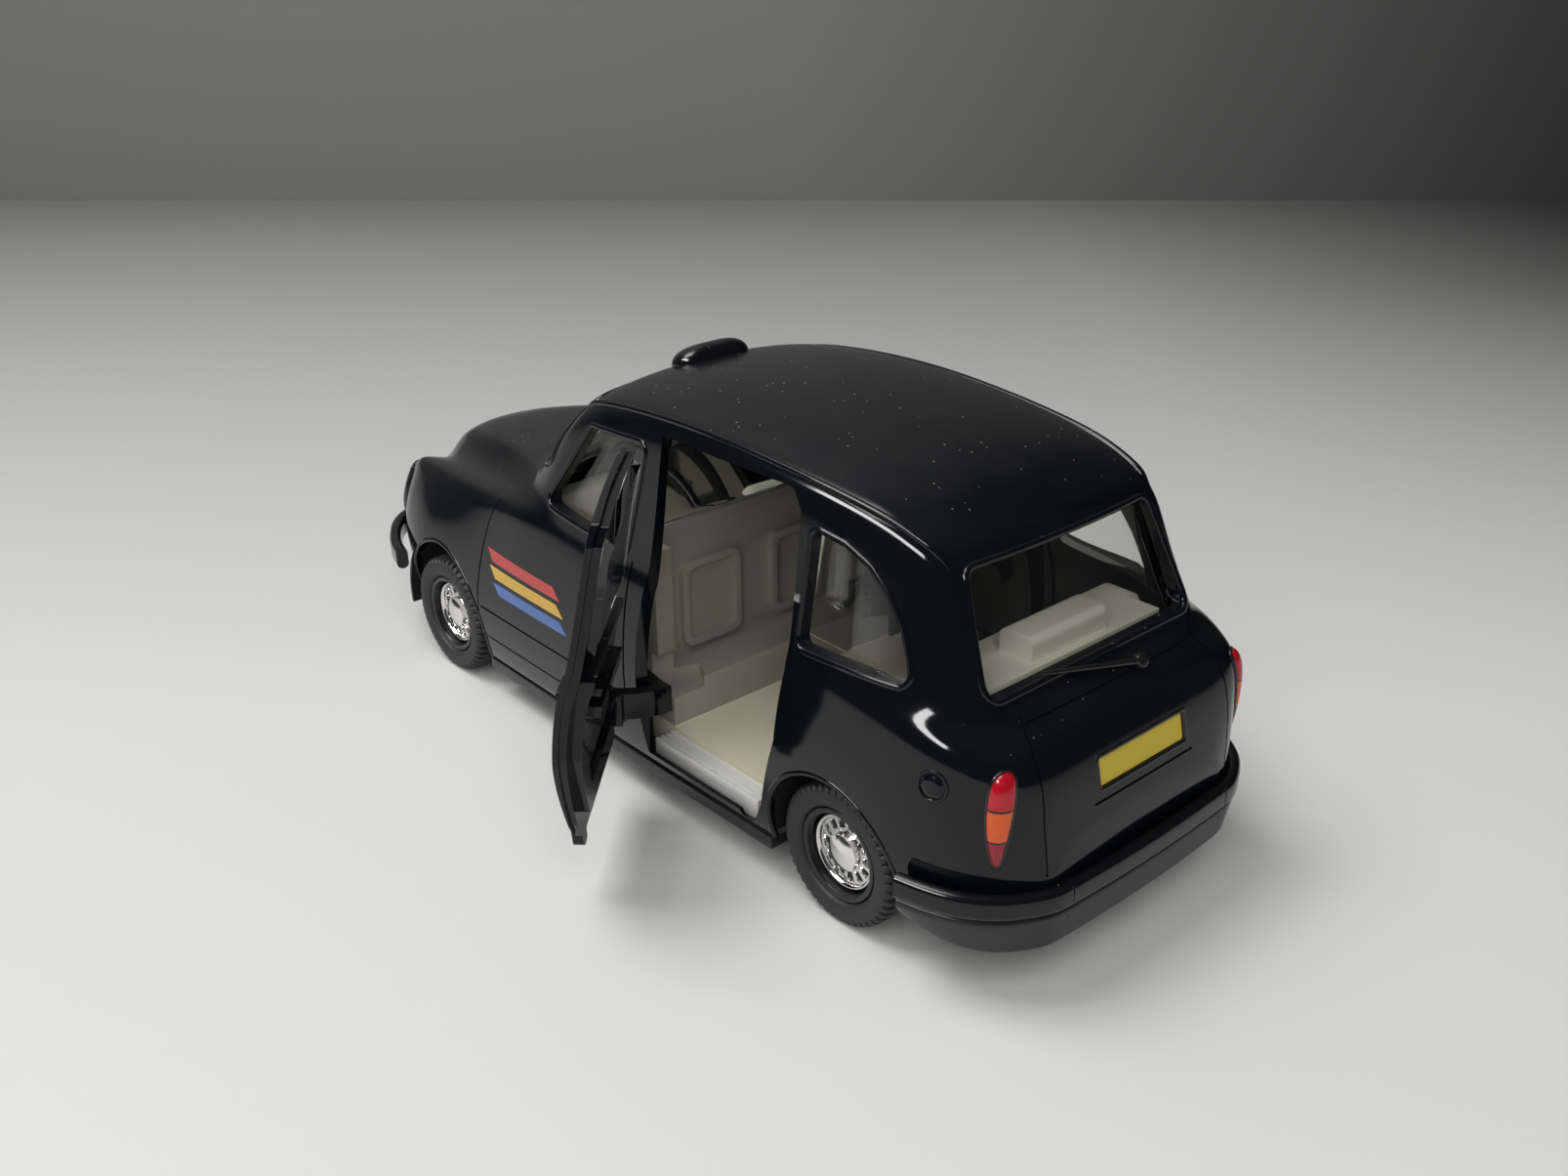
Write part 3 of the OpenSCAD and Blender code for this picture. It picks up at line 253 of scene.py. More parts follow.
def carve(piece: Mesh, tool: Mesh, operation: Cut = Cut.DIFFERENCE) -> Mesh:
    """Applies a boolean and removes the tool.

    Args:
        piece: The object that is changed.
        tool: The solid that it is cut, joined or trimmed with.
        operation: What is done.

    Returns:
        The changed piece.
    """
    before = len(piece.data.vertices)
    modifier = piece.modifiers.new(name="carve", type="BOOLEAN")
    modifier.operation = operation.value
    modifier.solver = "MANIFOLD"
    modifier.object = tool
    pick(piece)
    bpy.ops.object.modifier_apply(modifier=modifier.name)
    if len(piece.data.vertices) == before:
        LOG.warning("%s did not change with %s", piece.name, tool.name)
    discard(tool)
    return piece


def twin(piece: Mesh, name: str, matrix: Matrix) -> Mesh:
    """Copies a piece with its own mesh to another place.

    Args:
        piece: The piece to copy.
        name: Name of the copy.
        matrix: Where the copy goes, a mirror included.

    Returns:
        The copy.
    """
    mesh = piece.data.copy()
    mesh.name = name
    mesh.transform(matrix)
    if matrix.determinant() < 0:
        mesh.flip_normals()
    copy = bpy.data.objects.new(name, mesh)
    bpy.context.collection.objects.link(copy)
    return copy


def soften(node: str, width: float, degrees: float = 40.0) -> Mesh:
    """Copies a CAD node and rounds its edges.

    Args:
        node: Name of the CAD node.
        width: Width of the rounding.
        degrees: Edges that turn less than this stay as they are.

    Returns:
        The rounded copy.
    """
    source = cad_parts[node]
    piece = twin(source, node + "_soft", source.matrix_world)
    weld(piece)
    bpy.ops.object.mode_set(mode="EDIT")
    bpy.ops.mesh.dissolve_limited(angle_limit=math.radians(FLAT_ANGLE))
    bpy.ops.object.mode_set(mode="OBJECT")
    modifier = piece.modifiers.new(name="round", type="BEVEL")
    modifier.width = width * MM
    modifier.segments = ROUND_STEPS
    modifier.limit_method = "ANGLE"
    modifier.angle_limit = math.radians(degrees)
    bpy.ops.object.modifier_apply(modifier=modifier.name)
    return smooth(piece, degrees)


MIRROR = Matrix.Scale(-1.0, 4, (0.0, 1.0, 0.0))


# Outlines and sweeps


def round_outline(corners: Corners, radius: float, steps: int = 8) -> np.ndarray:
    """Outline of equal circles at the corners of a convex shape with a band round them.

    Args:
        corners: Centres of the circles, in order.
        radius: Radius of the circles.
        steps: Points on each arc.

    Returns:
        The outline, points x 2.
    """
    points = np.array(corners, dtype=float)
    following = np.roll(points, -1, axis=0)
    if np.sum(points[:, 0] * following[:, 1] - following[:, 0] * points[:, 1]) < 0:
        points = points[::-1]
        following = np.roll(points, -1, axis=0)
    edges = following - points
    facing = np.arctan2(-edges[:, 0], edges[:, 1])
    arcs = []
    for corner, arrive, leave in zip(points, np.roll(facing, 1), facing):
        turn = (leave - arrive) % (2 * math.pi)
        angles = arrive + turn * np.linspace(0.0, 1.0, steps)
        arcs.append(corner + radius * np.column_stack([np.cos(angles), np.sin(angles)]))
    return np.concatenate(arcs)


def rectangle(half: tuple[float, float]) -> Corners:
    """Corners of a rectangle about its middle.

    Args:
        half: Its half-sizes.

    Returns:
        The four corners in order.
    """
    width, height = half
    return (-width, -height), (width, -height), (width, height), (-width, height)


def resample(path: np.ndarray, count: int, closed: bool = False, soften_passes: int = 0) -> np.ndarray:
    """Spaces points evenly along a path.

    Args:
        path: Points of the path.
        count: Number of points wanted.
        closed: Whether the path goes back to its start.
        soften_passes: How often each inner point of an open path moves to the middle of its neighbours.

    Returns:
        The evenly spaced points.
    """
    points = np.concatenate([path, path[:1]]) if closed else path
    run = np.concatenate([[0.0], np.cumsum(np.linalg.norm(np.diff(points, axis=0), axis=1))])
    places = np.linspace(0.0, run[-1], count, endpoint=not closed)
    even = np.column_stack([np.interp(places, run, points[:, k]) for k in range(points.shape[1])])
    for _ in range(soften_passes):
        even[1:-1] = (even[:-2] + 2 * even[1:-1] + even[2:]) / 4
    return even


def unit(vectors: np.ndarray) -> np.ndarray:
    """Scales vectors to length one.

    Args:
        vectors: Vectors in the last axis.

    Returns:
        The unit vectors.
    """
    return vectors / np.linalg.norm(vectors, axis=-1, keepdims=True)


def bead(radius: float, sides: int = 14, height: float = 1.0) -> np.ndarray:
    """Oval section for a sweep.

    Args:
        radius: Half its width across the path.
        sides: Number of points.
        height: Its height as a share of its width.

    Returns:
        Points x 2, across the path and out from the surface.
    """
    angles = np.linspace(0.0, 2 * math.pi, sides, endpoint=False)
    return np.column_stack([radius * np.cos(angles), height * radius * np.sin(angles)])


def sweep(name: str, path: np.ndarray, normals: np.ndarray, section: np.ndarray,
          closed: bool = False, taper: np.ndarray | None = None) -> Mesh:
    """Carries a section along a path that lies on a surface.

    Args:
        name: Name of the new object.
        path: Points of the path.
        normals: Direction out of the surface at each point.
        section: Points across the path and out from the surface.
        closed: Whether the path is a ring.
        taper: Scale of the section at each point.

    Returns:
        The swept solid.
    """
    ahead = np.roll(path, -1, axis=0) - np.roll(path, 1, axis=0) if closed else np.gradient(path, axis=0)
    across = unit(np.cross(ahead, normals))
    scale = np.ones(len(path)) if taper is None else taper
    sized = section[None] * scale[:, None, None]
    loops = path[:, None] + sized[:, :, :1] * across[:, None] + sized[:, :, 1:] * normals[:, None]
    return loft(name, loops, Cap.RING if closed else Cap.CENTRE)


# Finishes

# First value socket and result socket of a mix node of each kind
MIX_SOCKETS = {"RGBA": (6, 2), "FLOAT": (2, 0)}


def mix(tree: bpy.types.NodeTree, kind: str, factor: Value, low: Value, high: Value) -> Socket:
    """Adds a mix node.

    Args:
        tree: Node tree to add to.
        kind: "RGBA" or "FLOAT".
        factor: Socket or value of the factor.
        low: Socket or value at factor 0.
        high: Socket or value at factor 1.

    Returns:
        The result socket.
    """
    node = tree.nodes.new("ShaderNodeMix")
    node.data_type = kind
    first, result = MIX_SOCKETS[kind]
    for index, value in ((0, factor), (first, low), (first + 1, high)):
        if isinstance(value, Socket):
            tree.links.new(value, node.inputs[index])
        elif kind == "RGBA" and index:
            node.inputs[index].default_value = (*value, 1.0)
        else:
            node.inputs[index].default_value = value
    return node.outputs[result]


def math_node(tree: bpy.types.NodeTree, operation: str, a: Value, b: Value) -> Socket:
    """Adds a math node.

    Args:
        tree: Node tree to add to.
        operation: Name of the operation.
        a: First socket or value.
        b: Second socket or value.

    Returns:
        The result socket.
    """
    node = tree.nodes.new("ShaderNodeMath")
    node.operation = operation
    for index, value in enumerate((a, b)):
        if isinstance(value, Socket):
            tree.links.new(value, node.inputs[index])
        else:
            node.inputs[index].default_value = value
    return node.outputs[0]


def new_group(name: str, inputs: Sequence[str], outputs: dict[str, str]) -> tuple:
    """Makes an empty node group with float inputs.

    Args:
        name: Name of the group.
        inputs: Names of its inputs.
        outputs: Socket type of each output by name.

    Returns:
        The group, its input node and its output node.
    """
    group = bpy.data.node_groups.new(name, "ShaderNodeTree")
    for label in inputs:
        group.interface.new_socket(name=label, in_out="INPUT", socket_type="NodeSocketFloat")
    for label, kind in outputs.items():
        group.interface.new_socket(name=label, in_out="OUTPUT", socket_type=kind)
    return group, group.nodes.new("NodeGroupInput"), group.nodes.new("NodeGroupOutput")


@dataclass(frozen=True)
class SharedEffects:
    """Node groups that the finishes share, with feature sizes in millimetres."""

    bump_depth: float = 0.05
    fine_detail: float = 3.0
    tone_size: float = 9.0
    dusty_from: float = 0.7
    speck_size: float = 0.9
    speck_share: float = 0.13
    speck_kept: float = 0.2
    film_size: float = 5.0
    film_detail: float = 6.0
    film_share: float = 0.05
    haze: tuple[float, float] = (0.4, 0.6)

    @staticmethod
    def per_metre(size: float) -> float:
        """Texture scale for a feature size.

        Args:
            size: Size in millimetres.

        Returns:
            Features in a metre.
        """
        return 1.0 / (size * MM)

    def grain(self) -> bpy.types.NodeTree:
        """Fine bump and slow tone change.

        Returns:
            The group, with inputs Scale and Strength and outputs Normal and Tone.
        """
        found = bpy.data.node_groups.get("surface_grain")
        if found:
            return found
        group, source, result = new_group("surface_grain", ("Scale", "Strength"),
                                          {"Normal": "NodeSocketVector", "Tone": "NodeSocketFloat"})
        place = group.nodes.new("ShaderNodeTexCoord")
        fine = group.nodes.new("ShaderNodeTexNoise")
        fine.inputs["Detail"].default_value = self.fine_detail
        slow = group.nodes.new("ShaderNodeTexNoise")
        slow.inputs["Scale"].default_value = self.per_metre(self.tone_size)
        bump = group.nodes.new("ShaderNodeBump")
        bump.inputs["Distance"].default_value = self.bump_depth * MM
        for texture in (fine, slow):
            group.links.new(place.outputs["Object"], texture.inputs["Vector"])
        group.links.new(source.outputs["Scale"], fine.inputs["Scale"])
        group.links.new(source.outputs["Strength"], bump.inputs["Strength"])
        group.links.new(fine.outputs["Fac"], bump.inputs["Height"])
        group.links.new(bump.outputs["Normal"], result.inputs["Normal"])
        group.links.new(slow.outputs["Fac"], result.inputs["Tone"])
        return group

    def dust(self) -> bpy.types.NodeTree:
        """Specks and a thin film on faces that look up.

        Returns:
            The group, with input Amount and outputs Mask for the colour and Haze for the gloss.
        """
        found = bpy.data.node_groups.get("dust_specks")
        if found:
            return found
        group, source, result = new_group("dust_specks", ("Amount",),
                                          {"Mask": "NodeSocketFloat", "Haze": "NodeSocketFloat"})
        place = group.nodes.new("ShaderNodeTexCoord")
        shape = group.nodes.new("ShaderNodeNewGeometry")
        parts = group.nodes.new("ShaderNodeSeparateXYZ")
        group.links.new(shape.outputs["Normal"], parts.inputs[0])
        up = group.nodes.new("ShaderNodeMapRange")
        up.inputs["From Min"].default_value = self.dusty_from
        group.links.new(parts.outputs["Z"], up.inputs["Value"])
        specks = group.nodes.new("ShaderNodeTexVoronoi")
        specks.inputs["Scale"].default_value = self.per_metre(self.speck_size)
        film = group.nodes.new("ShaderNodeTexNoise")
        film.inputs["Scale"].default_value = self.per_metre(self.film_size)
        film.inputs["Detail"].default_value = self.film_detail
        for texture in (specks, film):
            group.links.new(place.outputs["Object"], texture.inputs["Vector"])
        chance = group.nodes.new("ShaderNodeSeparateColor")
        group.links.new(specks.outputs["Color"], chance.inputs[0])
        near = math_node(group, "LESS_THAN", specks.outputs["Distance"], self.speck_share)
        few = math_node(group, "LESS_THAN", chance.outputs[0], self.speck_kept)
        dots = math_node(group, "MULTIPLY", near, few)
        veil = math_node(group, "MULTIPLY", film.outputs["Fac"], self.film_share)
        both = math_node(group, "MAXIMUM", dots, veil)
        seen = math_node(group, "MULTIPLY", both, up.outputs["Result"])
        cloud = mix(group, "FLOAT", film.outputs["Fac"], *self.haze)
        dull = math_node(group, "MULTIPLY", cloud, up.outputs["Result"])
        for share, label in ((seen, "Mask"), (dull, "Haze")):
            scaled = math_node(group, "MULTIPLY", share, source.outputs["Amount"])
            group.links.new(scaled, result.inputs[label])
        return group


EFFECTS = SharedEffects()
DUST_COLOUR: Colour = (0.42, 0.40, 0.37)
DUST_ROUGHNESS = 0.7
# Roughness of a clear coat as a share of the surface under it
COAT_SHARE = 1 / 3


@dataclass(frozen=True)
class Finish:
    """An opaque finish with grain, slow tone change and dust.

    Attributes:
        name: Name of the material.
        slot: Name of a material slot; not used.
        colour: Base colour.
        roughness: Roughness of a clean surface.
        metallic: 1 for bare or plated metal.
        coat: Weight of a clear coat.
        specular: Strength of the mirror reflection, 0.5 for common plastic.
        grain_size: Size of the bumps in millimetres.
        grain: Strength of the bumps.
        tone: Share by which the colour wanders.
        dust: How dusty upward faces are.
        bands: Heights above the floor from which other colours hold, with those colours.
    """

    name: str
    slot: str
    colour: Colour
    roughness: float
    metallic: float = 0.0
    coat: float = 0.0
    specular: float = 0.5
    grain_size: float = 0.5
    grain: float = 0.08
    tone: float = 0.15
    dust: float = 0.0
    bands: tuple[tuple[float, Colour], ...] = ()

    def base(self, tree: bpy.types.NodeTree) -> Socket:
        """Colour before tone and dust.

        Args:
            tree: Node tree of the material.

        Returns:
            A socket with the colour of this height.
        """
        place = tree.nodes.new("ShaderNodeTexCoord")
        parts = tree.nodes.new("ShaderNodeSeparateXYZ")
        tree.links.new(place.outputs["Object"], parts.inputs[0])
        plain = tree.nodes.new("ShaderNodeRGB")
        plain.outputs[0].default_value = (*self.colour, 1.0)
        colour = plain.outputs[0]
        for height, above in self.bands:
            over = math_node(tree, "GREATER_THAN", parts.outputs["Z"], (height - BASE_Z) * MM)
            colour = mix(tree, "RGBA", over, colour, above)
        return colour

    def material(self) -> bpy.types.Material:
        """Builds the material once.

        Returns:
            The material.
        """
        found = bpy.data.materials.get(self.name)
        if found:
            return found
        material = bpy.data.materials.new(self.name)
        material.use_nodes = True
        tree = material.node_tree
        shader = tree.nodes["Principled BSDF"]
        grain = tree.nodes.new("ShaderNodeGroup")
        grain.node_tree = EFFECTS.grain()
        grain.inputs["Scale"].default_value = EFFECTS.per_metre(self.grain_size)
        grain.inputs["Strength"].default_value = self.grain
        dust = tree.nodes.new("ShaderNodeGroup")
        dust.node_tree = EFFECTS.dust()
        dust.inputs["Amount"].default_value = self.dust
        clean = self.base(tree)
        shade = math_node(tree, "MULTIPLY", grain.outputs["Tone"], self.tone)
        toned = mix(tree, "RGBA", shade, clean, (0.0, 0.0, 0.0))
        dusty = mix(tree, "RGBA", dust.outputs["Mask"], toned, DUST_COLOUR)
        dull = mix(tree, "FLOAT", dust.outputs["Haze"], self.roughness, DUST_ROUGHNESS)
        tree.links.new(dusty, shader.inputs["Base Color"])
        tree.links.new(dull, shader.inputs["Roughness"])
        tree.links.new(grain.outputs["Normal"], shader.inputs["Normal"])
        shader.inputs["Metallic"].default_value = self.metallic
        shader.inputs["Specular IOR Level"].default_value = self.specular
        shader.inputs["Coat Weight"].default_value = self.coat
        shader.inputs["Coat Roughness"].default_value = self.roughness * COAT_SHARE
        return material


@dataclass(frozen=True)
class ClearFinish(Finish):
    """A clear moulding that lets lamp light through.

    Attributes:
        ior: Index of refraction.
    """

    ior: float = 1.46

    def material(self) -> bpy.types.Material:
        """Builds the material once.

        Returns:
            The material.
        """
        found = bpy.data.materials.get(self.name)
        if found:
            return found
        material = super().material()
        tree = material.node_tree
        shader = tree.nodes["Principled BSDF"]
        shader.inputs["Transmission Weight"].default_value = 1.0
        shader.inputs["IOR"].default_value = self.ior
        path = tree.nodes.new("ShaderNodeLightPath")
        through = tree.nodes.new("ShaderNodeBsdfTransparent")
        through.inputs["Color"].default_value = (*self.colour, 1.0)
        blend = tree.nodes.new("ShaderNodeMixShader")
        rays = math_node(tree, "MAXIMUM", path.outputs["Is Shadow Ray"], path.outputs["Is Diffuse Ray"])
        tree.links.new(rays, blend.inputs[0])
        tree.links.new(shader.outputs[0], blend.inputs[1])
        tree.links.new(through.outputs[0], blend.inputs[2])
        tree.links.new(blend.outputs[0], tree.nodes["Material Output"].inputs["Surface"])
        return material


BLACK: Colour = (0.006, 0.006, 0.007)
LAMP_RED: Colour = (0.46, 0.006, 0.016)
LAMP_ORANGE: Colour = (0.72, 0.10, 0.012)
LAMP_DARK: Colour = (0.30, 0.006, 0.018)
ENAMEL = Finish("gloss_black_enamel", "body_enamel", (0.0036, 0.0046, 0.0066), 0.09, specular=0.34,
                grain_size=0.9, grain=0.03, dust=0.5)
SATIN = Finish("satin_black_plastic", "base_black", (0.016, 0.016, 0.017), 0.38, grain_size=0.25,
               grain=0.12, dust=0.3)
TRIM = Finish("moulded_black_trim", "trim_black", (0.010, 0.010, 0.011), 0.24, grain=0.06, dust=0.4)
GLOSS_TRIM = Finish("gloss_black_moulding", "trim_black", (0.005, 0.0055, 0.007), 0.13, specular=0.4,
                    grain=0.03, dust=0.3)
CABIN = Finish("warm_grey_moulding", "cabin_grey", (0.76, 0.70, 0.54), 0.46, grain_size=0.22, grain=0.1,
               tone=0.1, bands=((8.8, (0.34, 0.32, 0.27)),))
SEATING = Finish("warm_grey_seat_moulding", "cabin_grey", (0.70, 0.67, 0.57), 0.46, grain_size=0.22,
                 grain=0.1, tone=0.1)
STRIP = Finish("pale_grey_strip", "threshold_grey", (0.84, 0.83, 0.79), 0.4, grain=0.08)
CLEAR = ClearFinish("clear_styrene", "clear_glazing", (0.93, 0.94, 0.92), 0.02, grain_size=2.5, grain=0.02,
                    tone=0.0, dust=0.35)
LAMP_CLEAR = ClearFinish("clear_lamp_lens", "lamp_clear", (0.92, 0.93, 0.93), 0.03, tone=0.0,
                         grain_size=0.7)
STEEL = Finish("turned_steel", "steel_pin", (0.46, 0.46, 0.47), 0.28, metallic=1.0, grain_size=0.15)
BRIGHT = Finish("bright_plating", "bright_trim", (0.72, 0.72, 0.73), 0.14, metallic=1.0)
CHROME = Finish("vacuum_chrome", "hub_chrome", (0.80, 0.79, 0.77), 0.13, metallic=1.0, grain_size=0.8,
                grain=0.05, tone=0.12)
RUBBER = Finish("tyre_rubber", "tyre_black", (0.017, 0.017, 0.017), 0.58, grain_size=0.12, grain=0.2,
                dust=0.25)
RIM = Finish("rim_black_plastic", "rim_black", (0.008, 0.008, 0.009), 0.3, grain=0.06)
TAIL_RED = Finish("tail_lamp_bands", "lamp_red", LAMP_DARK, 0.14, grain=0.03,
                  bands=((19.1, BLACK), (19.35, LAMP_ORANGE), (22.65, BLACK), (22.9, LAMP_RED)))
SIGN = Finish("sign_black_plastic", "sign_black", (0.005, 0.005, 0.007), 0.16, grain=0.03, dust=0.6)
AMBER = Finish("amber_lens", "sign_amber", (0.80, 0.28, 0.03), 0.2, coat=0.5)
PLATE = Finish("plain_yellow_plate", "plate_yellow", (0.62, 0.46, 0.012), 0.3, grain=0.05, tone=0.12)
STRIPE_RED = Finish("stripe_red", "body_enamel", (0.55, 0.02, 0.02), 0.22, coat=0.5)
STRIPE_BLUE = Finish("stripe_blue", "body_enamel", (0.035, 0.13, 0.45), 0.22, coat=0.5)
STRIPE_YELLOW = Finish("stripe_yellow", "body_enamel", (0.72, 0.42, 0.02), 0.22, coat=0.5)


def seat(piece: Mesh, part: Part, finish: Finish, *nodes: str) -> Mesh:
    """Gives a finished piece its material and makes it ride on its body.

    Args:
        piece: The finished piece.
        part: Body that it rides on.
        finish: Its finish.
        nodes: CAD nodes that it stands for.

    Returns:
        The same piece.
    """
    piece.data.materials.clear()
    piece.data.materials.append(finish.material())
    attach(piece, part.value)
    if nodes:
        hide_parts(*nodes)
    LOG.info("%s: %d faces on %s", piece.name, len(piece.data.polygons), part.value)
    return piece


def keep(node: str, finish: Finish) -> None:
    """Gives a CAD node that stays a better material.

    Args:
        node: Name of the CAD node.
        finish: Its finish.
    """
    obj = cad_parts[node]
    if not obj.material_slots:
        obj.data.materials.append(finish.material())
    for slot in obj.material_slots:
        slot.material = finish.material()
    LOG.info("%s stays as built", node)


# Body


@dataclass(frozen=True)
class BodyLines:
    """Curves that the body is lofted along, each key an x place with a half-width and a height."""

    sill: Line = ((-62.6, 14.2, 6.4), (-59.5, 18.2, 6.4), (-55, 21.2, 6.4), (-50, 22.6, 6.4),
                  (-46, 22.8, 5.55), (-42, 22.8, 5.4), (0, 23, 5.4), (42, 22.6, 5.4), (46, 22.4, 5.55),
                  (50, 21, 6.4), (56, 17, 6.4), (60, 13.4, 6.4), (64, 10.6, 6.4))
    waist: Line = ((-62.6, 15, 11), (-61.4, 17.4, 15), (-59.8, 19.8, 17), (-56.5, 22.3, 17.5),
                   (-50, 24.2, 17.5), (-40, 24.6, 17.5), (0, 24.5, 17), (30, 24.4, 17), (45, 24, 17),
                   (54, 22, 16.5), (60, 18.8, 16), (62.5, 16.6, 15.5), (64, 14.4, 15))
    shoulder: Line = ((-62.6, 14, 15), (-61.4, 16.8, 22), (-59.8, 19.4, 25.8), (-57, 21.3, 27.3),
                      (-52, 22.8, 28.4), (-44, 23.2, 29.2), (-30, 23.1, 29.8), (0, 23, 30),
                      (18, 22.4, 30.4), (30, 21, 29.6), (42, 19.5, 28.8), (52, 17.8, 27.8),
                      (57.5, 16.4, 26.6), (61.5, 14.2, 23.8), (64, 12.2, 21))
    ledge: Line = ((-62.6, 12, 16.4), (-61.4, 13.5, 22.9), (-59.8, 15, 26.3), (-57, 16.8, 28.4),
                   (-53.5, 18.4, 29.9), (-48, 20.4, 31), (-40, 21.4, 31.4), (0, 21.6, 31.6),
                   (14, 21.2, 31.8), (22, 19.2, 31), (32, 16.2, 29.3), (45, 13, 27), (54, 11, 25),
                   (60, 9.6, 23), (64, 8.8, 21.4))
    eave: Line = ((-62.6, 9, 16.9), (-61.4, 9.6, 23.2), (-59.8, 10.5, 26.5), (-57, 13, 28.8),
                  (-54.6, 16.4, 31), (-51.5, 16.7, 37), (-48.5, 16.9, 42.8), (-44, 17.6, 45.2),
                  (-36, 18.3, 46.7), (-20, 18.9, 47.9), (-8, 18.9, 47.9), (4, 18.5, 46.9),
                  (9, 18, 45.6), (14, 17.7, 41.8), (19, 17.2, 37), (23, 16.2, 34.2), (32, 13.2, 32.8),
                  (45, 10.4, 31), (54, 8.2, 28.8), (60, 6.8, 26.4), (64, 5.8, 23.4))
    crown: Line = ((-62.6, 0, 17.2), (-61.4, 0, 23.4), (-59.8, 0, 26.7), (-57, 0, 29), (-55, 0, 30.4),
                   (-52.6, 0, 36), (-50.2, 0, 42), (-47.6, 0, 45), (-42, 0, 48), (-34, 0, 49.8),
                   (-22, 0, 51), (-10, 0, 51.2), (0, 0, 50.4), (7, 0, 49), (11, 0, 47.2), (16, 0, 42.4),
                   (21, 0, 37.2), (24.5, 0, 34.6), (32, 0, 33.6), (45, 0, 32.2), (54, 0, 30.2),
                   (60, 0, 27.8), (64, 0, 24.2))
    sill_turn: float = 0.8
    shoulder_drop: float = 2.2
    shoulder_turn: float = 0.9
    cavity_foot: float = -0.6
    roof_edge: tuple[float, float] = (0.86, 0.46)
    roof_mid: tuple[float, float] = (0.45, 0.92)
    crown_j: int = 10
    half_steps: int = 60

    @property
    def ends(self) -> tuple[float, float]:
        """Places of the tail and the nose."""
        return self.sill[0][0], self.sill[-1][0]

    @staticmethod
    def along(line: Line, x: np.ndarray) -> np.ndarray:
        """Follows a line, a smooth curve through its keys.

        Args:
            line: The keys.
            x: Places along the body.

        Returns:
            Half-width and height at each place.
        """
        keys = np.array(line, dtype=float)
        at, value = keys[:, 0], keys[:, 1:]
        order = np.arange(len(at))
        before, after = np.maximum(order - 1, 0), np.minimum(order + 1, len(at) - 1)
        slope = (value[after] - value[before]) / (at[after] - at[before])[:, None]
        x = np.clip(x, at[0], at[-1])
        i = np.clip(np.searchsorted(at, x) - 1, 0, len(at) - 2)
        width = (at[i + 1] - at[i])[:, None]
        t = (x - at[i])[:, None] / width
        return ((2 * t**3 - 3 * t**2 + 1) * value[i] + (t**3 - 2 * t**2 + t) * width * slope[i]
                + (3 * t**2 - 2 * t**3) * value[i + 1] + (t**3 - t**2) * width * slope[i + 1])

    def inset(self, line: Line, x: np.ndarray, depth: float) -> np.ndarray:
        """Follows a line set in from the skin, or raised where the depth is negative.

        Args:
            line: The keys.
            x: Places along the body.
            depth: Distance from the skin.

        Returns:
            Half-width and height at each place.
        """
        here = self.along(line, x)
        if depth == 0:
            return here
        near = np.stack([here - depth, self.along(line, x - depth), self.along(line, x + depth)])
        return near.max(axis=0) if depth < 0 else near.min(axis=0)

    def guides(self, x: np.ndarray, depth: float) -> np.ndarray:
        """Points that guide one half of each section, from the sill up to the crown.

        Args:
            x: Places along the body.
            depth: Distance from the skin.

        Returns:
            Places x 11 x 2.
        """
        lines = (self.sill, self.waist, self.shoulder, self.ledge, self.eave, self.crown)
        sill, waist, shoulder, ledge, eave, crown = (self.inset(line, x, depth) for line in lines)
        camber = crown[:, 1] - eave[:, 1]
        inside = depth > 0
        foot = np.full_like(camber, self.cavity_foot) if inside else sill[:, 1]
        turn = 0.0 if inside else self.sill_turn
        drop = np.maximum(shoulder[:, 1] - self.shoulder_drop, (shoulder[:, 1] + waist[:, 1]) / 2)
        blend = (ledge + 3 * eave) / 4
        columns = [(sill[:, 0] - turn, foot), (sill[:, 0], foot + self.sill_turn), waist.T,
                   (shoulder[:, 0], drop), (shoulder[:, 0] - self.shoulder_turn, shoulder[:, 1]), ledge.T,
                   blend.T, eave.T]
        columns += [(eave[:, 0] * across, eave[:, 1] + up * camber)
                    for across, up in (self.roof_edge, self.roof_mid)]
        columns.append((np.zeros_like(camber), crown[:, 1]))
        return np.stack([np.stack(column, axis=1) for column in columns], axis=1)

    def at(self, x: np.ndarray, j: np.ndarray, depth: float = 0.0) -> np.ndarray:
        """Finds places on the skin.

        Args:
            x: Places along the body.
            j: Places up the section, counted in guides.
            depth: Distance from the skin.

        Returns:
            Points, in the shape of x and j together.
        """
        x, j = np.broadcast_arrays(np.asarray(x, dtype=float), np.asarray(j, dtype=float))
        shape = x.shape
        x, j = x.ravel(), j.ravel()
        g = self.guides(x, depth)
        flip = np.array((-1.0, 1.0))
        last = self.crown_j
        g = np.concatenate([2 * g[:, :1] - g[:, 1:2], g, g[:, last - 1:last] * flip,
                            g[:, last - 2:last - 1] * flip], axis=1)
        i = np.clip(np.floor(j).astype(int), 0, last)
        t = (j - i)[:, None]
        row = np.arange(len(x))
        half = ((1 - t)**3 * g[row, i] + (3 * t**3 - 6 * t**2 + 4) * g[row, i + 1]
                + (1 + 3 * t + 3 * t**2 - 3 * t**3) * g[row, i + 2] + t**3 * g[row, i + 3]) / 6
        return np.column_stack([x, half]).reshape(*shape, 3)

    def normal(self, x: np.ndarray, j: np.ndarray, step: float = 0.05) -> np.ndarray:
        """Directions out of the skin.

        Args:
            x: Places along the body.
            j: Places up the section.
            step: Distance over which the slope is taken.

        Returns:
            Unit vectors.
        """
        up = self.at(x, j + step) - self.at(x, j - step)
        return unit(np.cross(up, self.at(x + step, j) - self.at(x - step, j)))

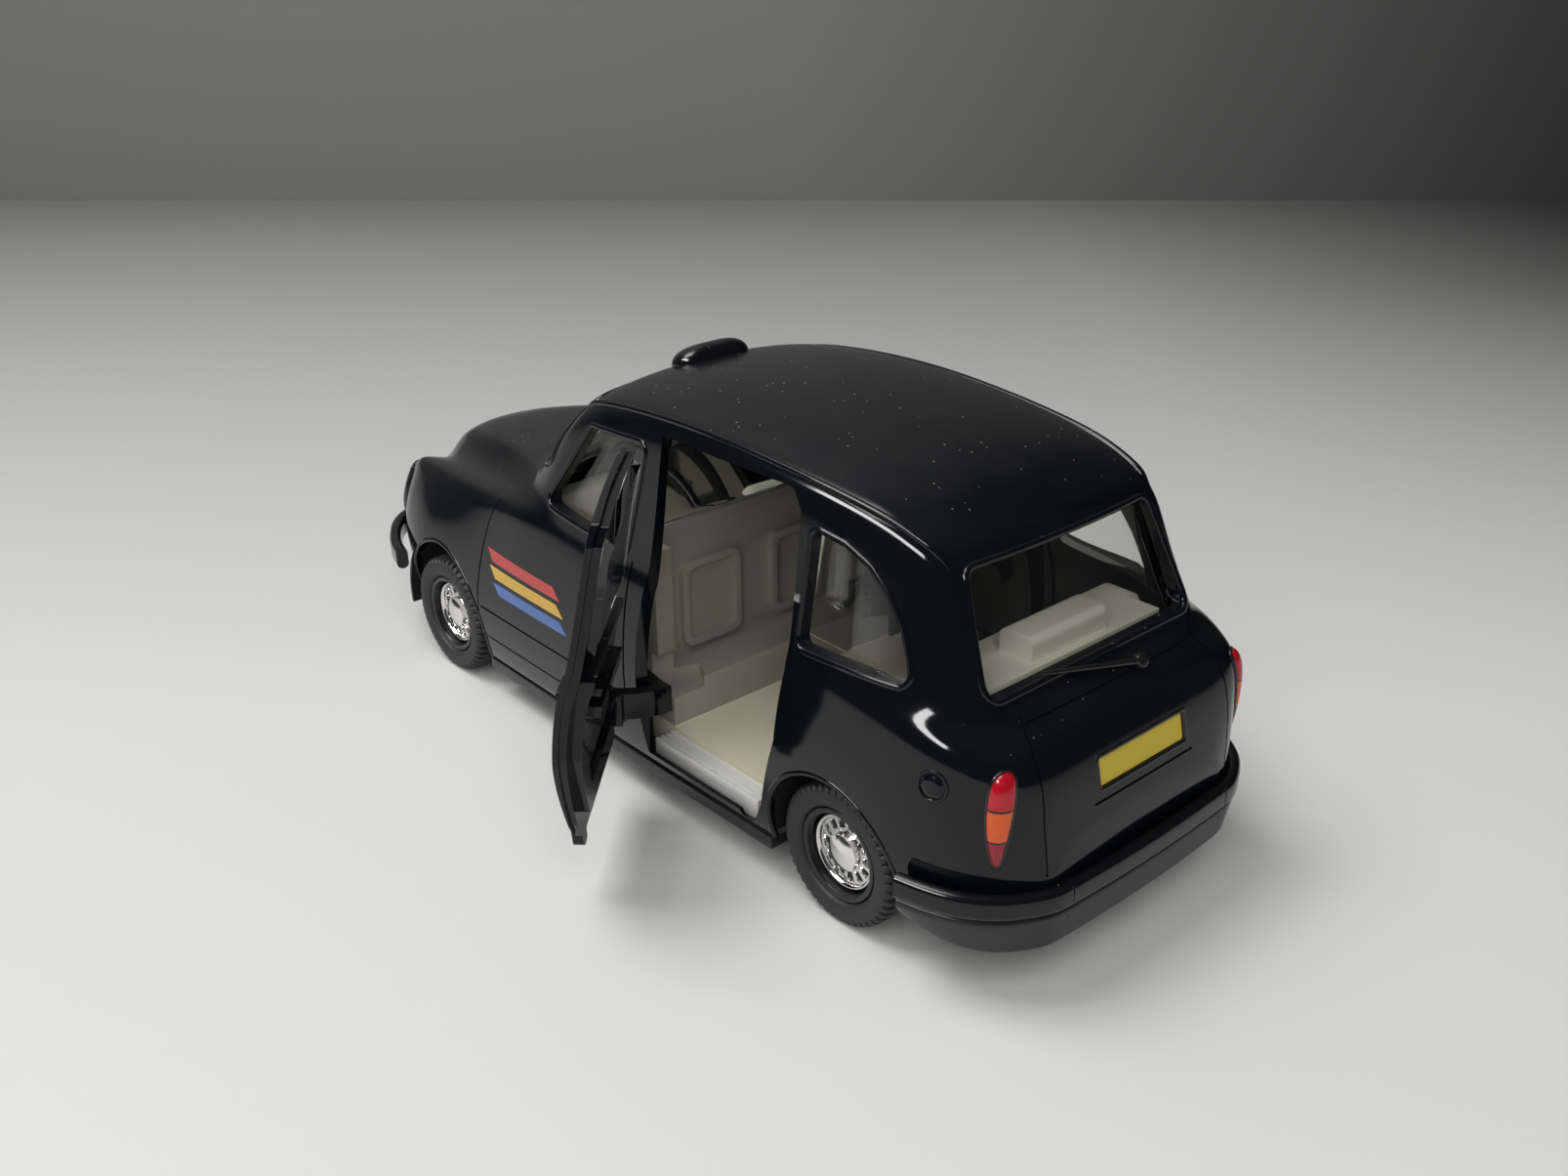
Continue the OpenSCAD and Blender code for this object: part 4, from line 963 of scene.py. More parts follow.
    def solid(self, name: str, stations: np.ndarray, depth: float = 0.0) -> Mesh:
        """The body as one smooth solid, set in from the skin.

        Args:
            name: Name of the new object.
            stations: Places of the sections.
            depth: Distance from the skin.

        Returns:
            The solid.
        """
        x = np.clip(stations, self.ends[0] + max(depth, 0.0), self.ends[1] - max(depth, 0.0))
        j = np.linspace(0, self.crown_j, self.half_steps + 1)
        half = self.at(np.unique(x)[:, None], j[None], depth)
        return loft(name, np.concatenate([half, half[:, -2::-1] * (1, -1, 1)], axis=1))


LINES = BodyLines()


class SkinProbe:
    """Finds places on the uncut skin by casting rays at it."""

    def __init__(self, skin: Mesh) -> None:
        """Keeps the skin's faces.

        Args:
            skin: The uncut body.
        """
        self.tree = BVHTree.FromObject(skin, bpy.context.evaluated_depsgraph_get())

    def project(self, view: View, outline: np.ndarray) -> tuple[np.ndarray, np.ndarray]:
        """Lays a flat outline on the skin.

        Args:
            view: Side from which it is laid.
            outline: Points x 2, in the other two axes in order.

        Returns:
            Points on the skin and the directions out of it.
        """
        distance, axis, direction = view.value
        points, normals = [], []
        for start in np.insert(np.asarray(outline, dtype=float), axis.value, distance, axis=1):
            origin = Vector((start - (0, 0, BASE_Z)) * MM)
            place, normal, _, _ = self.tree.ray_cast(origin, Vector(direction))
            if place is not None:
                points.append(np.array(place) / MM + (0, 0, BASE_Z))
                normals.append(np.array(normal))
        return np.array(points), unit(np.array(normals))


@dataclass
class BodyShell:
    """Cast body with its openings, shut lines, window lips and gutters."""

    wall: float = WALL
    station_runs: tuple[tuple[float, float, int], ...] = ((-62.6, -54, 44), (-54, -42, 40), (-42, 4, 52),
                                                         (4, 26, 44), (26, 56, 32), (56, 64, 24))
    reach: float = 40.0
    windows: tuple[Corners, ...] = (((6.4, 43.2), (13.3, 33.6), (-2.2, 32.8), (-3.6, 43.9)),
                                    ((-33.6, 42.2), (-37, 41.8), (-40.3, 40.6), (-42.9, 38.6), (-44.9, 36),
                                     (-46.1, 33.6), (-46.6, 32.4), (-34, 31.9)))
    window_round: float = 1.0
    screen: Corners = ((17.2, 36.9), (14.6, 45.2), (-14.6, 45.2), (-17.2, 36.9))
    screen_x: tuple[float, float] = (9, 45)
    tail_window: Corners = ((14.8, 32.2), (13.2, 41.2), (-13.2, 41.2), (-14.8, 32.2))
    tail_round: float = 1.4
    tail_x: tuple[float, float] = (-66, -44)
    door_gap: float = 0.3
    arches: tuple[tuple[float, float], ...] = ((FRONT_AXLE_X, 11.0), (REAR_AXLE_X, 10.0))
    axle_z: float = AXLE_Z
    plate_at: tuple[float, float, float] = (-61.15, 0.0, 22.2)
    plate_lean: float = -12.4
    plate_half: tuple[float, float] = (7.45, 1.95)
    pocket_depth: float = 4.0
    groove_r: float = 0.16
    groove_height: float = 1.3
    groove_sides: int = 8
    groove_points: int = 90
    groove_passes: int = 6
    door_seam: Corners = ((-4.4, 31.2), (-4.4, 9.6), (30.4, 9.6), (28.2, 27.4), (26.8, 29.4))
    strip_seam: Corners = ((-3.6, 14.1), (29.2, 14.1))
    tail_seam: Corners = ((13.8, 29.2), (15.3, 26.6), (15.6, 20.0), (15.2, 14.2))
    tail_crease: Corners = ((-13.6, 28.7), (13.6, 28.7))
    ledge_seam: Corners = ((-8.2, 19.4), (8.2, 19.4))
    lip_r: float = 0.42
    lip_sink: float = 0.4
    lip_points: int = 160
    gutter_x: tuple[float, float] = (10.2, -48.6)
    gutter_j: float = 7.35
    gutter_r: float = 0.4
    gutter_height: float = 1.2
    gutter_points: int = 120
    gutter_fade: int = 4
    gutter_tip: float = 0.2
    arch_sides: int = 96
    arch_sweep: tuple[float, float, int] = (-14.0, 194.0, 90)
    arch_lip_r: float = 0.36
    arch_lip_out: float = 0.1
    arch_lip_sink: float = 0.2
    house_sweep: tuple[float, float, int] = (-10.0, 190.0, 60)
    house_bore: float = 2.4
    house_edge: float = 22.3
    house_faces: tuple[tuple[float, float], ...] = ((0.5, 15.2), (0.1, 15.7))
    probe: SkinProbe | None = None

    def on_tail(self, local: np.ndarray) -> np.ndarray:
        """Moves points from the plate's own plane to the tail.

        Args:
            local: Points out of, across and up the plate.

        Returns:
            Points on the body.
        """
        lean = math.radians(self.plate_lean)
        x = local[..., 0] * math.cos(lean) - local[..., 2] * math.sin(lean)
        z = local[..., 0] * math.sin(lean) + local[..., 2] * math.cos(lean)
        return np.stack([x, local[..., 1], z], axis=-1) + self.plate_at

    def groove(self, body: Mesh, view: View, path: Corners, mirrored: bool) -> None:
        """Scores a line into the skin.

        Args:
            body: The shell.
            view: Side from which the line is laid.
            path: The line.
            mirrored: Whether the other side has it too.
        """
        even = resample(np.array(path, dtype=float), self.groove_points, soften_passes=self.groove_passes)
        points, normals = self.probe.project(view, even)
        line = sweep("groove", points, normals, bead(self.groove_r, self.groove_sides, self.groove_height))
        if mirrored:
            carve(body, twin(line, "groove_mirrored", MIRROR))
        carve(body, line)

    def lip(self, name: str, view: View, outline: np.ndarray, radius: float) -> Mesh:
        """Rolls a rounded lip round an opening.

        Args:
            name: Name of the new piece.
            view: Side from which the opening is cut.
            outline: The opening.
            radius: Radius of the lip.

        Returns:
            The lip.
        """
        points, normals = self.probe.project(view, resample(outline, self.lip_points, closed=True))
        centres = points - self.lip_sink * radius * normals
        return smooth(sweep(name, centres, normals, bead(radius), closed=True), BEAD_ANGLE)

    def wheelhouse(self, name: str, x: float, radius: float) -> Mesh:
        """Dark housing over a left wheel.

        Args:
            name: Name of the new piece.
            x: Place of the axle.
            radius: Radius of the arch.

        Returns:
            The housing.
        """
        angles = np.radians(np.linspace(*self.house_sweep))[:, None]
        faces = []
        for grow, back in self.house_faces:
            r = np.array((self.house_bore, radius + grow, radius + grow))
            y = np.broadcast_to((back, back, self.house_edge), (len(angles), 3))
            faces.append(np.stack([x + r * np.cos(angles), y, self.axle_z + r * np.sin(angles)], axis=-1))
        return sheet(name, *faces)

    def pair(self, piece: Mesh, finish: Finish) -> None:
        """Seats a left piece and its mirror image.

        Args:
            piece: The left piece, with a name that starts with left.
            finish: Their finish.
        """
        seat(twin(piece, piece.name.replace("left", "right", 1), MIRROR), Part.CAB, finish)
        seat(piece, Part.CAB, finish)

    def build(self, door: "RearDoor") -> None:
        """Builds the shell.

        Args:
            door: The rear door, for its opening.
        """
        runs = [np.linspace(*run, endpoint=False) for run in self.station_runs]
        stations = np.append(np.concatenate(runs), LINES.ends[1])
        body = LINES.solid("body_shell_cast", stations)
        self.probe = SkinProbe(body)
        carve(body, LINES.solid("cavity", stations[::2], self.wall))
        for corners in self.windows:
            outline = round_outline(corners, self.window_round)
            carve(body, prism("window", outline, Axis.Y, -self.reach, self.reach))
        for side in (Matrix.Identity(4), MIRROR):
            opening = door.opening(self.door_gap)
            carve(body, twin(opening, "doorway", side))
            discard(opening)
        carve(body, prism("screen", round_outline(self.screen, self.window_round), Axis.X, *self.screen_x))
        carve(body, prism("tail", round_outline(self.tail_window, self.tail_round), Axis.X, *self.tail_x))
        for x, radius in self.arches:
            circle = bead(radius, self.arch_sides) + (x, self.axle_z)
            carve(body, prism("arch", circle, Axis.Y, -self.reach, self.reach))
        corners = rectangle(self.plate_half)
        pocket = np.array([[(x, *corner) for corner in corners] for x in (-self.pocket_depth, 0)])
        carve(body, loft("pocket", self.on_tail(pocket)))
        for view, path, mirrored in ((View.LEFT, self.door_seam, True), (View.LEFT, self.strip_seam, True),
                                     (View.TAIL, self.tail_seam, True), (View.TAIL, self.tail_crease, False),
                                     (View.TAIL, self.ledge_seam, False)):
            self.groove(body, view, path, mirrored)
        seat(smooth(body), Part.CAB, ENAMEL, "body_shell")

    def dress(self) -> None:
        """Adds the lips, gutters, wheelhouses and arch edges."""
        for name, corners in zip(("left_front_window_lip", "left_quarter_window_lip"), self.windows):
            outline = round_outline(corners, self.window_round + self.lip_r / 2)
            self.pair(self.lip(name, View.LEFT, outline, self.lip_r), ENAMEL)
        tail = round_outline(self.tail_window, self.tail_round + self.lip_r / 2)
        seat(self.lip("tail_window_lip", View.TAIL, tail, self.lip_r), Part.CAB, ENAMEL)
        screen = round_outline(self.screen, self.window_round + self.lip_r / 2)
        seat(self.lip("windscreen_lip", View.NOSE, screen, self.lip_r), Part.CAB, ENAMEL)
        x = np.linspace(*self.gutter_x, self.gutter_points)
        j = np.full_like(x, self.gutter_j)
        order = np.arange(self.gutter_points)
        ends = np.minimum(1.0, np.minimum(order, order[::-1]) / self.gutter_fade + self.gutter_tip)
        section = bead(self.gutter_r, height=self.gutter_height)
        rail = sweep("left_gutter", LINES.at(x, j), LINES.normal(x, j), section, taper=ends)
        self.pair(smooth(rail, BEAD_ANGLE), ENAMEL)
        for name, (x, radius) in zip(("left_front_wheelhouse", "left_rear_wheelhouse"), self.arches):
            self.pair(smooth(self.wheelhouse(name, x, radius)), SATIN)
        for name, (x, radius) in zip(("left_front_arch_lip", "left_rear_arch_lip"), self.arches):
            angles = np.radians(np.linspace(*self.arch_sweep))
            r = radius + self.arch_lip_out
            arc = np.column_stack([x + r * np.cos(angles), self.axle_z + r * np.sin(angles)])
            points, normals = self.probe.project(View.LEFT, arc)
            edge = sweep(name, points - self.arch_lip_sink * normals, normals, bead(self.arch_lip_r))
            self.pair(smooth(edge, BEAD_ANGLE), ENAMEL)


@dataclass(frozen=True)
class Layer:
    """One layer of a door.

    Attributes:
        corners: Centres of its rounded corners.
        radius: Radius of its corners.
        top: Depth of its outer face below the skin.
        bottom: Depth of its inner face.
    """

    corners: Corners
    radius: float
    top: float
    bottom: float


@dataclass
class RearDoor:
    """Rear door casting with its inner panel, glass and hinge arm, built shut on the left."""

    outline: Corners = ((-4, 8.4), (-26.2, 8.4), (-27.4, 10.6), (-30.2, 20), (-30.7, 28), (-29.4, 44),
                        (-28.4, 45.2), (-4, 45.4))
    corner: float = 1.1
    tab: Corners = ((-26, 7.2), (-25.2, 7.2), (-25.2, 8.6), (-26, 8.6))
    tab_corner: float = 0.7
    window: Corners = ((-11.2, 43.6), (-27.4, 43.2), (-28.4, 33), (-11.2, 33))
    window_corner: float = 1.0
    tab_inset: float = 0.02
    panel: Layer = Layer(((-10.2, 11.4), (-25.6, 11.4), (-28, 19), (-28.4, 28.4), (-10.2, 28.4)),
                         radius=0.8, top=0.9, bottom=2.5)
    pocket: Layer = Layer(((-12.4, 13.6), (-23.2, 13.6), (-24.3, 18), (-12.4, 18)),
                          radius=0.6, top=2.0, bottom=2.9)
    rest: Layer = Layer(((-12, 22.4), (-24.8, 22.4), (-24.8, 23.4), (-12, 23.4)),
                        radius=0.5, top=2.1, bottom=3.5)
    pull: Layer = Layer(((-25.4, 25.3), (-22.5, 25.3), (-22.5, 25.9), (-25.4, 25.9)),
                        radius=0.4, top=2.1, bottom=3.2)
    handle: Layer = Layer(((-28, 26), (-24.6, 26), (-24.6, 26.5), (-28, 26.5)),
                          radius=0.35, top=-0.5, bottom=0.4)
    hinge: tuple[float, float] = (-1.0, 20.6)
    hinge_r: float = 7.0
    hinge_sides: int = 128
    hinge_z: tuple[float, float] = (-10.0, 80.0)
    pad: Corners = ((-11.6, 21.6), (-8.6, 21.6), (-8.6, 23.4), (-11.6, 23.4))
    pad_z: tuple[float, float] = (12.8, 16.6)
    seat_cut: Corners = ((-11.5, 0), (-1, 0), (-1, 21.6), (-11.5, 21.6))
    seat_cut_z: tuple[float, float] = (12.9, 16.5)
    wall: float = WALL
    skin: float = 0.55
    step: float = 0.45
    overlap: float = 0.1
    open_angle: float = 45.0
    stations: tuple[float, float, int] = (-34.0, -1.0, 60)
    cut_y: tuple[float, float] = (8.0, 40.0)
    opening_y: tuple[float, float] = (1.0, 40.0)
    glass_x: tuple[float, float] = (-30.2, -9.4)
    glass_j: tuple[float, float] = (5.15, 6.9)
    glass_depths: tuple[float, float] = PANE_DEPTHS
    glass_grid: tuple[int, int] = (40, 24)
    lip_r: float = 0.3
    lip_sink: float = 0.15
    lip_points: int = 140
    arm_round: float = 0.45

    def hinge_round(self, radius: float) -> Mesh:
        """Round of the hinge, which the door swings about.

        Args:
            radius: Its radius.

        Returns:
            The cylinder.
        """
        return prism("hinge_round", bead(radius, self.hinge_sides) + self.hinge, Axis.Z, *self.hinge_z)

    def opening(self, gap: float) -> Mesh:
        """Solid that cuts the doorway.

        Args:
            gap: Gap round the door.

        Returns:
            The solid, on the left side.
        """
        start, stop = self.opening_y
        hole = prism("opening", round_outline(self.outline, self.corner + gap), Axis.Y, start, stop)
        tab = round_outline(self.tab, self.tab_corner + gap)
        carve(hole, prism("tab", tab, Axis.Y, start + self.overlap, stop - self.overlap), Cut.UNION)
        return carve(hole, self.hinge_round(self.hinge_r - gap))

    def slab(self, name: str, layer: Layer) -> Mesh:
        """Builds one layer of the door.

        Args:
            name: Name of the new object.
            layer: Its outline and depths.

        Returns:
            The layer, shut on the left.
        """
        stations = np.linspace(*self.stations)
        piece = LINES.solid(name, stations, layer.top)
        outline = round_outline(layer.corners, layer.radius)
        carve(piece, prism("trim", outline, Axis.Y, *self.cut_y), Cut.INTERSECT)
        return carve(piece, LINES.solid("core", stations, layer.bottom))

    def casting(self) -> Mesh:
        """The door casting.

        Returns:
            The casting, shut on the left.
        """
        leaf = self.slab("door_cast", Layer(self.outline, self.corner, 0.0, self.skin))
        inner = Layer(self.outline, self.corner - self.step, self.skin - self.overlap, self.wall)
        tab = Layer(self.tab, self.tab_corner, self.tab_inset, self.wall - self.tab_inset)
        for layer in (inner, self.panel, self.rest, self.pull, self.handle, tab):
            carve(leaf, self.slab("layer", layer), Cut.UNION)
        carve(leaf, prism("pad", np.array(self.pad, dtype=float), Axis.Z, *self.pad_z), Cut.UNION)
        carve(leaf, prism("window", round_outline(self.window, self.window_corner), Axis.Y, *self.cut_y))
        carve(leaf, self.slab("pocket", self.pocket))
        carve(leaf, prism("seat", np.array(self.seat_cut, dtype=float), Axis.Z, *self.seat_cut_z))
        return smooth(carve(leaf, self.hinge_round(self.hinge_r)))

    def glass(self) -> Mesh:
        """The door's clear pane.

        Returns:
            The pane, shut on the left.
        """
        rows, columns = self.glass_grid
        x = np.linspace(*self.glass_x, rows)[:, None]
        j = np.linspace(*self.glass_j, columns)[None]
        return smooth(sheet("door_pane", *(LINES.at(x, j, depth) for depth in self.glass_depths)))

    def build(self, probe: SkinProbe) -> None:
        """Builds both doors from one.

        Args:
            probe: Finds places on the skin.
        """
        outline = round_outline(self.window, self.window_corner + self.lip_r / 2)
        points, normals = probe.project(View.LEFT, resample(outline, self.lip_points, closed=True))
        centres = points - self.lip_sink * normals
        lip = smooth(sweep("door_window_lip", centres, normals, bead(self.lip_r), closed=True), BEAD_ANGLE)
        axis = Matrix.Translation((self.hinge[0] * MM, self.hinge[1] * MM, 0.0))
        swing = axis @ Matrix.Rotation(math.radians(-self.open_angle), 4, "Z") @ axis.inverted()
        sides = (("left", swing, Part.LEFT_DOOR), ("right", MIRROR, Part.RIGHT_DOOR))
        pieces = ((self.casting(), ENAMEL, "door"), (self.glass(), CLEAR, "door_glass"), (lip, ENAMEL, None))
        for side, matrix, part in sides:
            for piece, finish, node in pieces:
                nodes = (side + "_" + node,) if node else ()
                seat(twin(piece, side + "_" + piece.name, matrix), part, finish, *nodes)
            arm = side + "_hinge_arm"
            seat(soften(arm, self.arm_round), part, ENAMEL, arm)
        discard(*(piece for piece, _, _ in pieces))


@dataclass
class Glazing:
    """Clear canopies behind the fixed windows, and the screen on the bulkhead."""

    rear_x: tuple[float, float] = (-54.6, -32.4)
    front_x: tuple[float, float] = (-6.0, 22.4)
    foot_j: float = 5.0
    rear_rise: tuple[float, float] = (-33.4, 0.0)
    front_rise: tuple[float, float] = (14.5, 1.7)
    depths: tuple[float, float] = PANE_DEPTHS
    rows: int = 70
    columns: int = 60
    screen_round: float = 0.15

    def canopy(self, name: str, span: tuple[float, float], rise_from: float, rise: float) -> Mesh:
        """One arched sheet.

        Args:
            name: Name of the new piece.
            span: Where it begins and ends along the body.
            rise_from: Where its foot starts to rise.
            rise: How far the foot has risen at the end.

        Returns:
            The sheet.
        """
        x = np.linspace(*span, self.rows)[:, None]
        foot = self.foot_j + rise * np.clip((x - rise_from) / (span[1] - rise_from), 0.0, 1.0)
        j = foot + (LINES.crown_j - foot) * np.linspace(0.0, 1.0, self.columns)[None]
        faces = []
        for depth in self.depths:
            half = LINES.at(x, j, depth)
            faces.append(np.concatenate([half, half[:, -2::-1] * (1, -1, 1)], axis=1))
        return smooth(sheet(name, *faces))

    def build(self) -> None:
        """Builds the clear pieces."""
        rear = self.canopy("rear_canopy", self.rear_x, *self.rear_rise)
        seat(rear, Part.CAB, CLEAR, "rear_glazing")
        front = self.canopy("front_canopy", self.front_x, *self.front_rise)
        seat(front, Part.CAB, CLEAR, "front_glazing")
        seat(soften("partition_screen", self.screen_round), Part.CAB, CLEAR, "partition_screen")


@dataclass
class Wheels:
    """Tyres, rims and hubs, each modelled once and copied to four corners."""

    axles: tuple[tuple[str, float, Part], ...] = (("front", FRONT_AXLE_X, Part.FRONT_WHEELS),
                                                  ("rear", REAR_AXLE_X, Part.REAR_WHEELS))
    axle_z: float = AXLE_Z
    inner_face: float = 16.3
    tyre: Corners = ((5.6, 0.25), (5.9, 0.05), (7.5, 0.0), (7.95, 0.14), (8.25, 0.45), (8.38, 0.9),
                     (8.4, 1.6), (8.4, 2.6), (8.4, 3.8), (8.4, 4.8), (8.38, 5.4), (8.25, 5.9),
                     (7.95, 6.24), (7.55, 6.38), (7.0, 6.4), (6.4, 6.36), (6.0, 6.26), (5.75, 6.1),
                     (5.6, 5.85), (5.6, 3.0))
    notch_count: int = 46
    notch_steps: int = 6
    notch_wide: int = 2
    notch_depth: float = 0.36
    notch_from_r: float = 7.9
    notch_from_middle: float = 2.0
    tread_rows: tuple[int, int] = (2, 14)
    turns: int = 96
    rim: Corners = ((1.25, 1.0), (4.6, 0.4), (5.56, 0.45), (5.58, 3.0), (5.56, 5.75), (5.4, 5.96), (5.1, 6.0),
                    (4.86, 5.9), (4.74, 5.66), (4.7, 5.2), (4.7, 3.82), (1.25, 3.8))
    hub_r: float = 4.6
    hub_base: float = 3.82
    cap_r: float = 2.1
    cap_top: float = 5.86
    cap_drop: float = 0.55
    cap_step: float = 0.12
    hub_rows: tuple[int, int, int] = (12, 22, 12)
    vent_face: float = 4.62
    vent_r: tuple[float, float] = (2.5, 3.65)
    vent_depth: float = 0.6
    vent_share: float = 0.33
    vent_edge: float = 0.08
    vent_slope: float = 0.15
    vents: int = 14
    vent_steps: int = 12
    ring_r: tuple[float, float] = (3.85, 4.6)
    ring_rise: float = 0.5
    ring_power: float = 0.7
    shadow_ring: Corners = ((2.42, 3.9), (3.74, 3.9), (3.74, 4.3), (2.42, 4.3))

    def turned(self, name: str, radius: np.ndarray, along: np.ndarray) -> Mesh:
        """Turns profiles about the wheel's axis.

        Args:
            name: Name of the new object.
            radius: Turns x points, distance from the axis.
            along: Turns x points, distance from the inner face.

        Returns:
            The turned solid, with its axis through the origin.
        """
        angles = np.linspace(0.0, 2 * math.pi, len(radius), endpoint=False)[:, None]
        columns = [radius * np.sin(angles), along + self.inner_face, radius * np.cos(angles) + BASE_Z]
        return loft(name, np.stack(columns, axis=-1), Cap.RING)

    def make_tyre(self) -> Mesh:
        """Tyre with notched shoulders.

        Returns:
            The tyre.
        """
        turns = self.notch_count * self.notch_steps
        profile = np.array(self.tyre, dtype=float)
        radius = np.tile(profile[:, 0], (turns, 1))
        along = np.tile(profile[:, 1], (turns, 1))
        notched = np.arange(turns) % self.notch_steps < self.notch_wide
        from_middle = abs(profile[:, 1] - np.mean(profile[slice(*self.tread_rows), 1]))
        shoulder = (profile[:, 0] > self.notch_from_r) & (from_middle > self.notch_from_middle)
        radius[np.ix_(notched, shoulder)] -= self.notch_depth
        return smooth(self.turned("tyre", radius, along), TURNED_ANGLE)

    def round_piece(self, name: str, outline: Corners) -> Mesh:
        """A piece with one profile all round.

        Args:
            name: Name of the new object.
            outline: The profile, as distances from the axis and from the inner face.

        Returns:
            The piece.
        """
        columns = (np.tile(column, (self.turns, 1)) for column in np.array(outline, dtype=float).T)
        return smooth(self.turned(name, *columns), TURNED_ANGLE)

    def make_hub(self) -> Mesh:
        """Hub with a domed cap, vents and an outer ring.

        Returns:
            The hub.
        """
        turns = self.vents * self.vent_steps
        cap_rows, vent_rows, ring_rows = self.hub_rows
        r = np.concatenate([np.linspace(0.0, self.cap_r, cap_rows),
                            np.linspace(self.cap_r + self.cap_step, self.ring_r[0], vent_rows),
                            np.linspace(*self.ring_r, ring_rows)[1:]])
        cap = self.cap_top - self.cap_drop * (r / self.cap_r)**2
        ring_t = np.clip((r - self.ring_r[0]) / (self.ring_r[1] - self.ring_r[0]), 0.0, 1.0)
        ring = self.vent_face + self.ring_rise * np.sin(math.pi * ring_t)**self.ring_power
        face = np.where(r <= self.cap_r, cap, ring)
        phase = np.arange(turns) % self.vent_steps / self.vent_steps
        open_angle = np.clip((self.vent_share - abs(phase - 0.5)) / self.vent_edge, 0.0, 1.0)
        middle, half = sum(self.vent_r) / 2, (self.vent_r[1] - self.vent_r[0]) / 2
        open_radius = np.clip((half - abs(r - middle)) / self.vent_slope, 0.0, 1.0)
        height = face[None] - self.vent_depth * open_angle[:, None] * open_radius[None]
        radius = np.tile(np.concatenate([r, [self.hub_r, 0.0]]), (turns, 1))
        foot = np.full((turns, 2), self.hub_base)
        return smooth(self.turned("hub", radius, np.concatenate([height, foot], axis=1)), TURNED_ANGLE)

    def build(self) -> None:
        """Builds the wheels and keeps the axles."""
        pieces = ((self.make_tyre(), RUBBER, True), (self.round_piece("rim", self.rim), RIM, True),
                  (self.make_hub(), CHROME, True),
                  (self.round_piece("vent_back", self.shadow_ring), RIM, False))
        sides = (("left", Matrix.Identity(4)), ("right", Matrix.Rotation(math.pi, 4, "Z")))
        for end, x, part in self.axles:
            place = Matrix.Translation((x * MM, 0.0, (self.axle_z - BASE_Z) * MM))
            for side, turn in sides:
                for piece, finish, stands_for_node in pieces:
                    node = f"{end}_{side}_{piece.name}"
                    copy = twin(piece, node + "_turned", place @ turn)
                    seat(copy, part, finish, *((node,) if stands_for_node else ()))
            keep(end + "_axle", STEEL)
        discard(*(piece for piece, _, _ in pieces))


@dataclass
class Bumper:
    """Bumper bar that follows the body in plan.

    Attributes:
        name: Name of the piece.
        start: Where its arms begin.
        end: Where the body ends.
        heights: Its lower and upper edges.
        depths: How far it goes into and out from the body.
        bow: How far its middle bows out.
        split_at: Share of its length where the corner pieces meet.
        corner: Radius of its edges.
        tuck: How far its lower edge goes in.
        end_rise: How far its lower edge rises at the ends of its arms.
        rise_span: Length over which that edge rises.
    """

    name: str
    start: float
    end: float
    heights: tuple[float, float]
    depths: tuple[float, float] = (-0.3, 1.4)
    bow: float = 0.5
    split_at: float = 0.29
    corner: float = 0.8
    tuck: float = 0.0
    end_rise: float = 0.0
    rise_span: float = 12.0
    arm_points: int = 30
    front_points: int = 15
    front_share: float = 0.85
    points: int = 140
    passes: int = 8
    seam_r: float = 0.14
    seam_over: float = 0.3
    seam_lean: float = 0.12
    seam_points: int = 8
    seam_sides: int = 8

    def build(self, finish: Finish, *nodes: str) -> None:
        """Builds the bar.

        Args:
            finish: Its finish.
            nodes: CAD nodes that it stands for.
        """
        x = self.start + (self.end - self.start) * np.sqrt(np.linspace(0.0, 1.0, self.arm_points))
        edge = np.column_stack([x, LINES.along(LINES.waist, x)[:, 0]])
        tip = edge[-1, 1]
        y = np.linspace(self.front_share * tip, -self.front_share * tip, self.front_points)
        out = math.copysign(self.bow, self.end)
        front = np.column_stack([self.end + out * (1 - (y / tip)**2), y])
        plan = np.concatenate([edge, front, edge[::-1] * (1, -1)])
        plan = resample(plan, self.points, soften_passes=self.passes)
        middle = sum(self.heights) / 2
        path = np.column_stack([plan, np.full(len(plan), middle)])
        ahead = np.gradient(path, axis=0)
        normals = unit(np.cross(ahead, (0.0, 0.0, 1.0)))
        centre = np.array((np.mean(path[:, 0]), 0.0, middle))
        normals *= np.where(np.sum(normals * (path - centre), axis=1) < 0, -1.0, 1.0)[:, None]
        half = (self.heights[1] - self.heights[0]) / 2
        r = self.corner
        low, high = self.depths
        top = self.heights[1] - r
        rises = self.end_rise * np.clip(1 - abs(path[:, 0] - self.start) / self.rise_span, 0.0, 1.0)**2
        loops = []
        for place, normal, rise in zip(path, normals, rises):
            foot = self.heights[0] + rise + r
            corners = ((foot, low + r), (top, low + r), (top, high - r), (foot, high - r - self.tuck))
            section = round_outline(corners, r)
            loops.append(place * (1, 1, 0) + section[:, :1] * (0, 0, 1) + section[:, 1:] * normal)
        bar = loft(self.name, np.array(loops))
        for share in (self.split_at, 1 - self.split_at):
            k = round(share * (len(path) - 1))
            up = np.linspace(-half - self.seam_over, half + self.seam_over, self.seam_points)[:, None]
            seam = up * (self.seam_lean, 0.0, 1.0) + path[k] + high * normals[k]
            facing = np.tile(normals[k], (self.seam_points, 1))
            carve(bar, sweep("seam", seam, facing, bead(self.seam_r, self.seam_sides)))
        seat(smooth(bar, BULGE_ANGLE), Part.CAB, finish, *nodes)


REAR_BAR = Bumper("rear_bar", start=-50.8, end=-62.6, heights=(10.4, 13.2))
FRONT_BAR = Bumper("front_bar", start=50.8, end=64.0, heights=(12.4, 15.6))
REAR_VALANCE = Bumper("rear_valance", start=-50.9, end=-62.6, heights=(5.7, 10.45), depths=(-1.4, 0.98),
                      corner=0.75, tuck=0.6, end_rise=2.4)


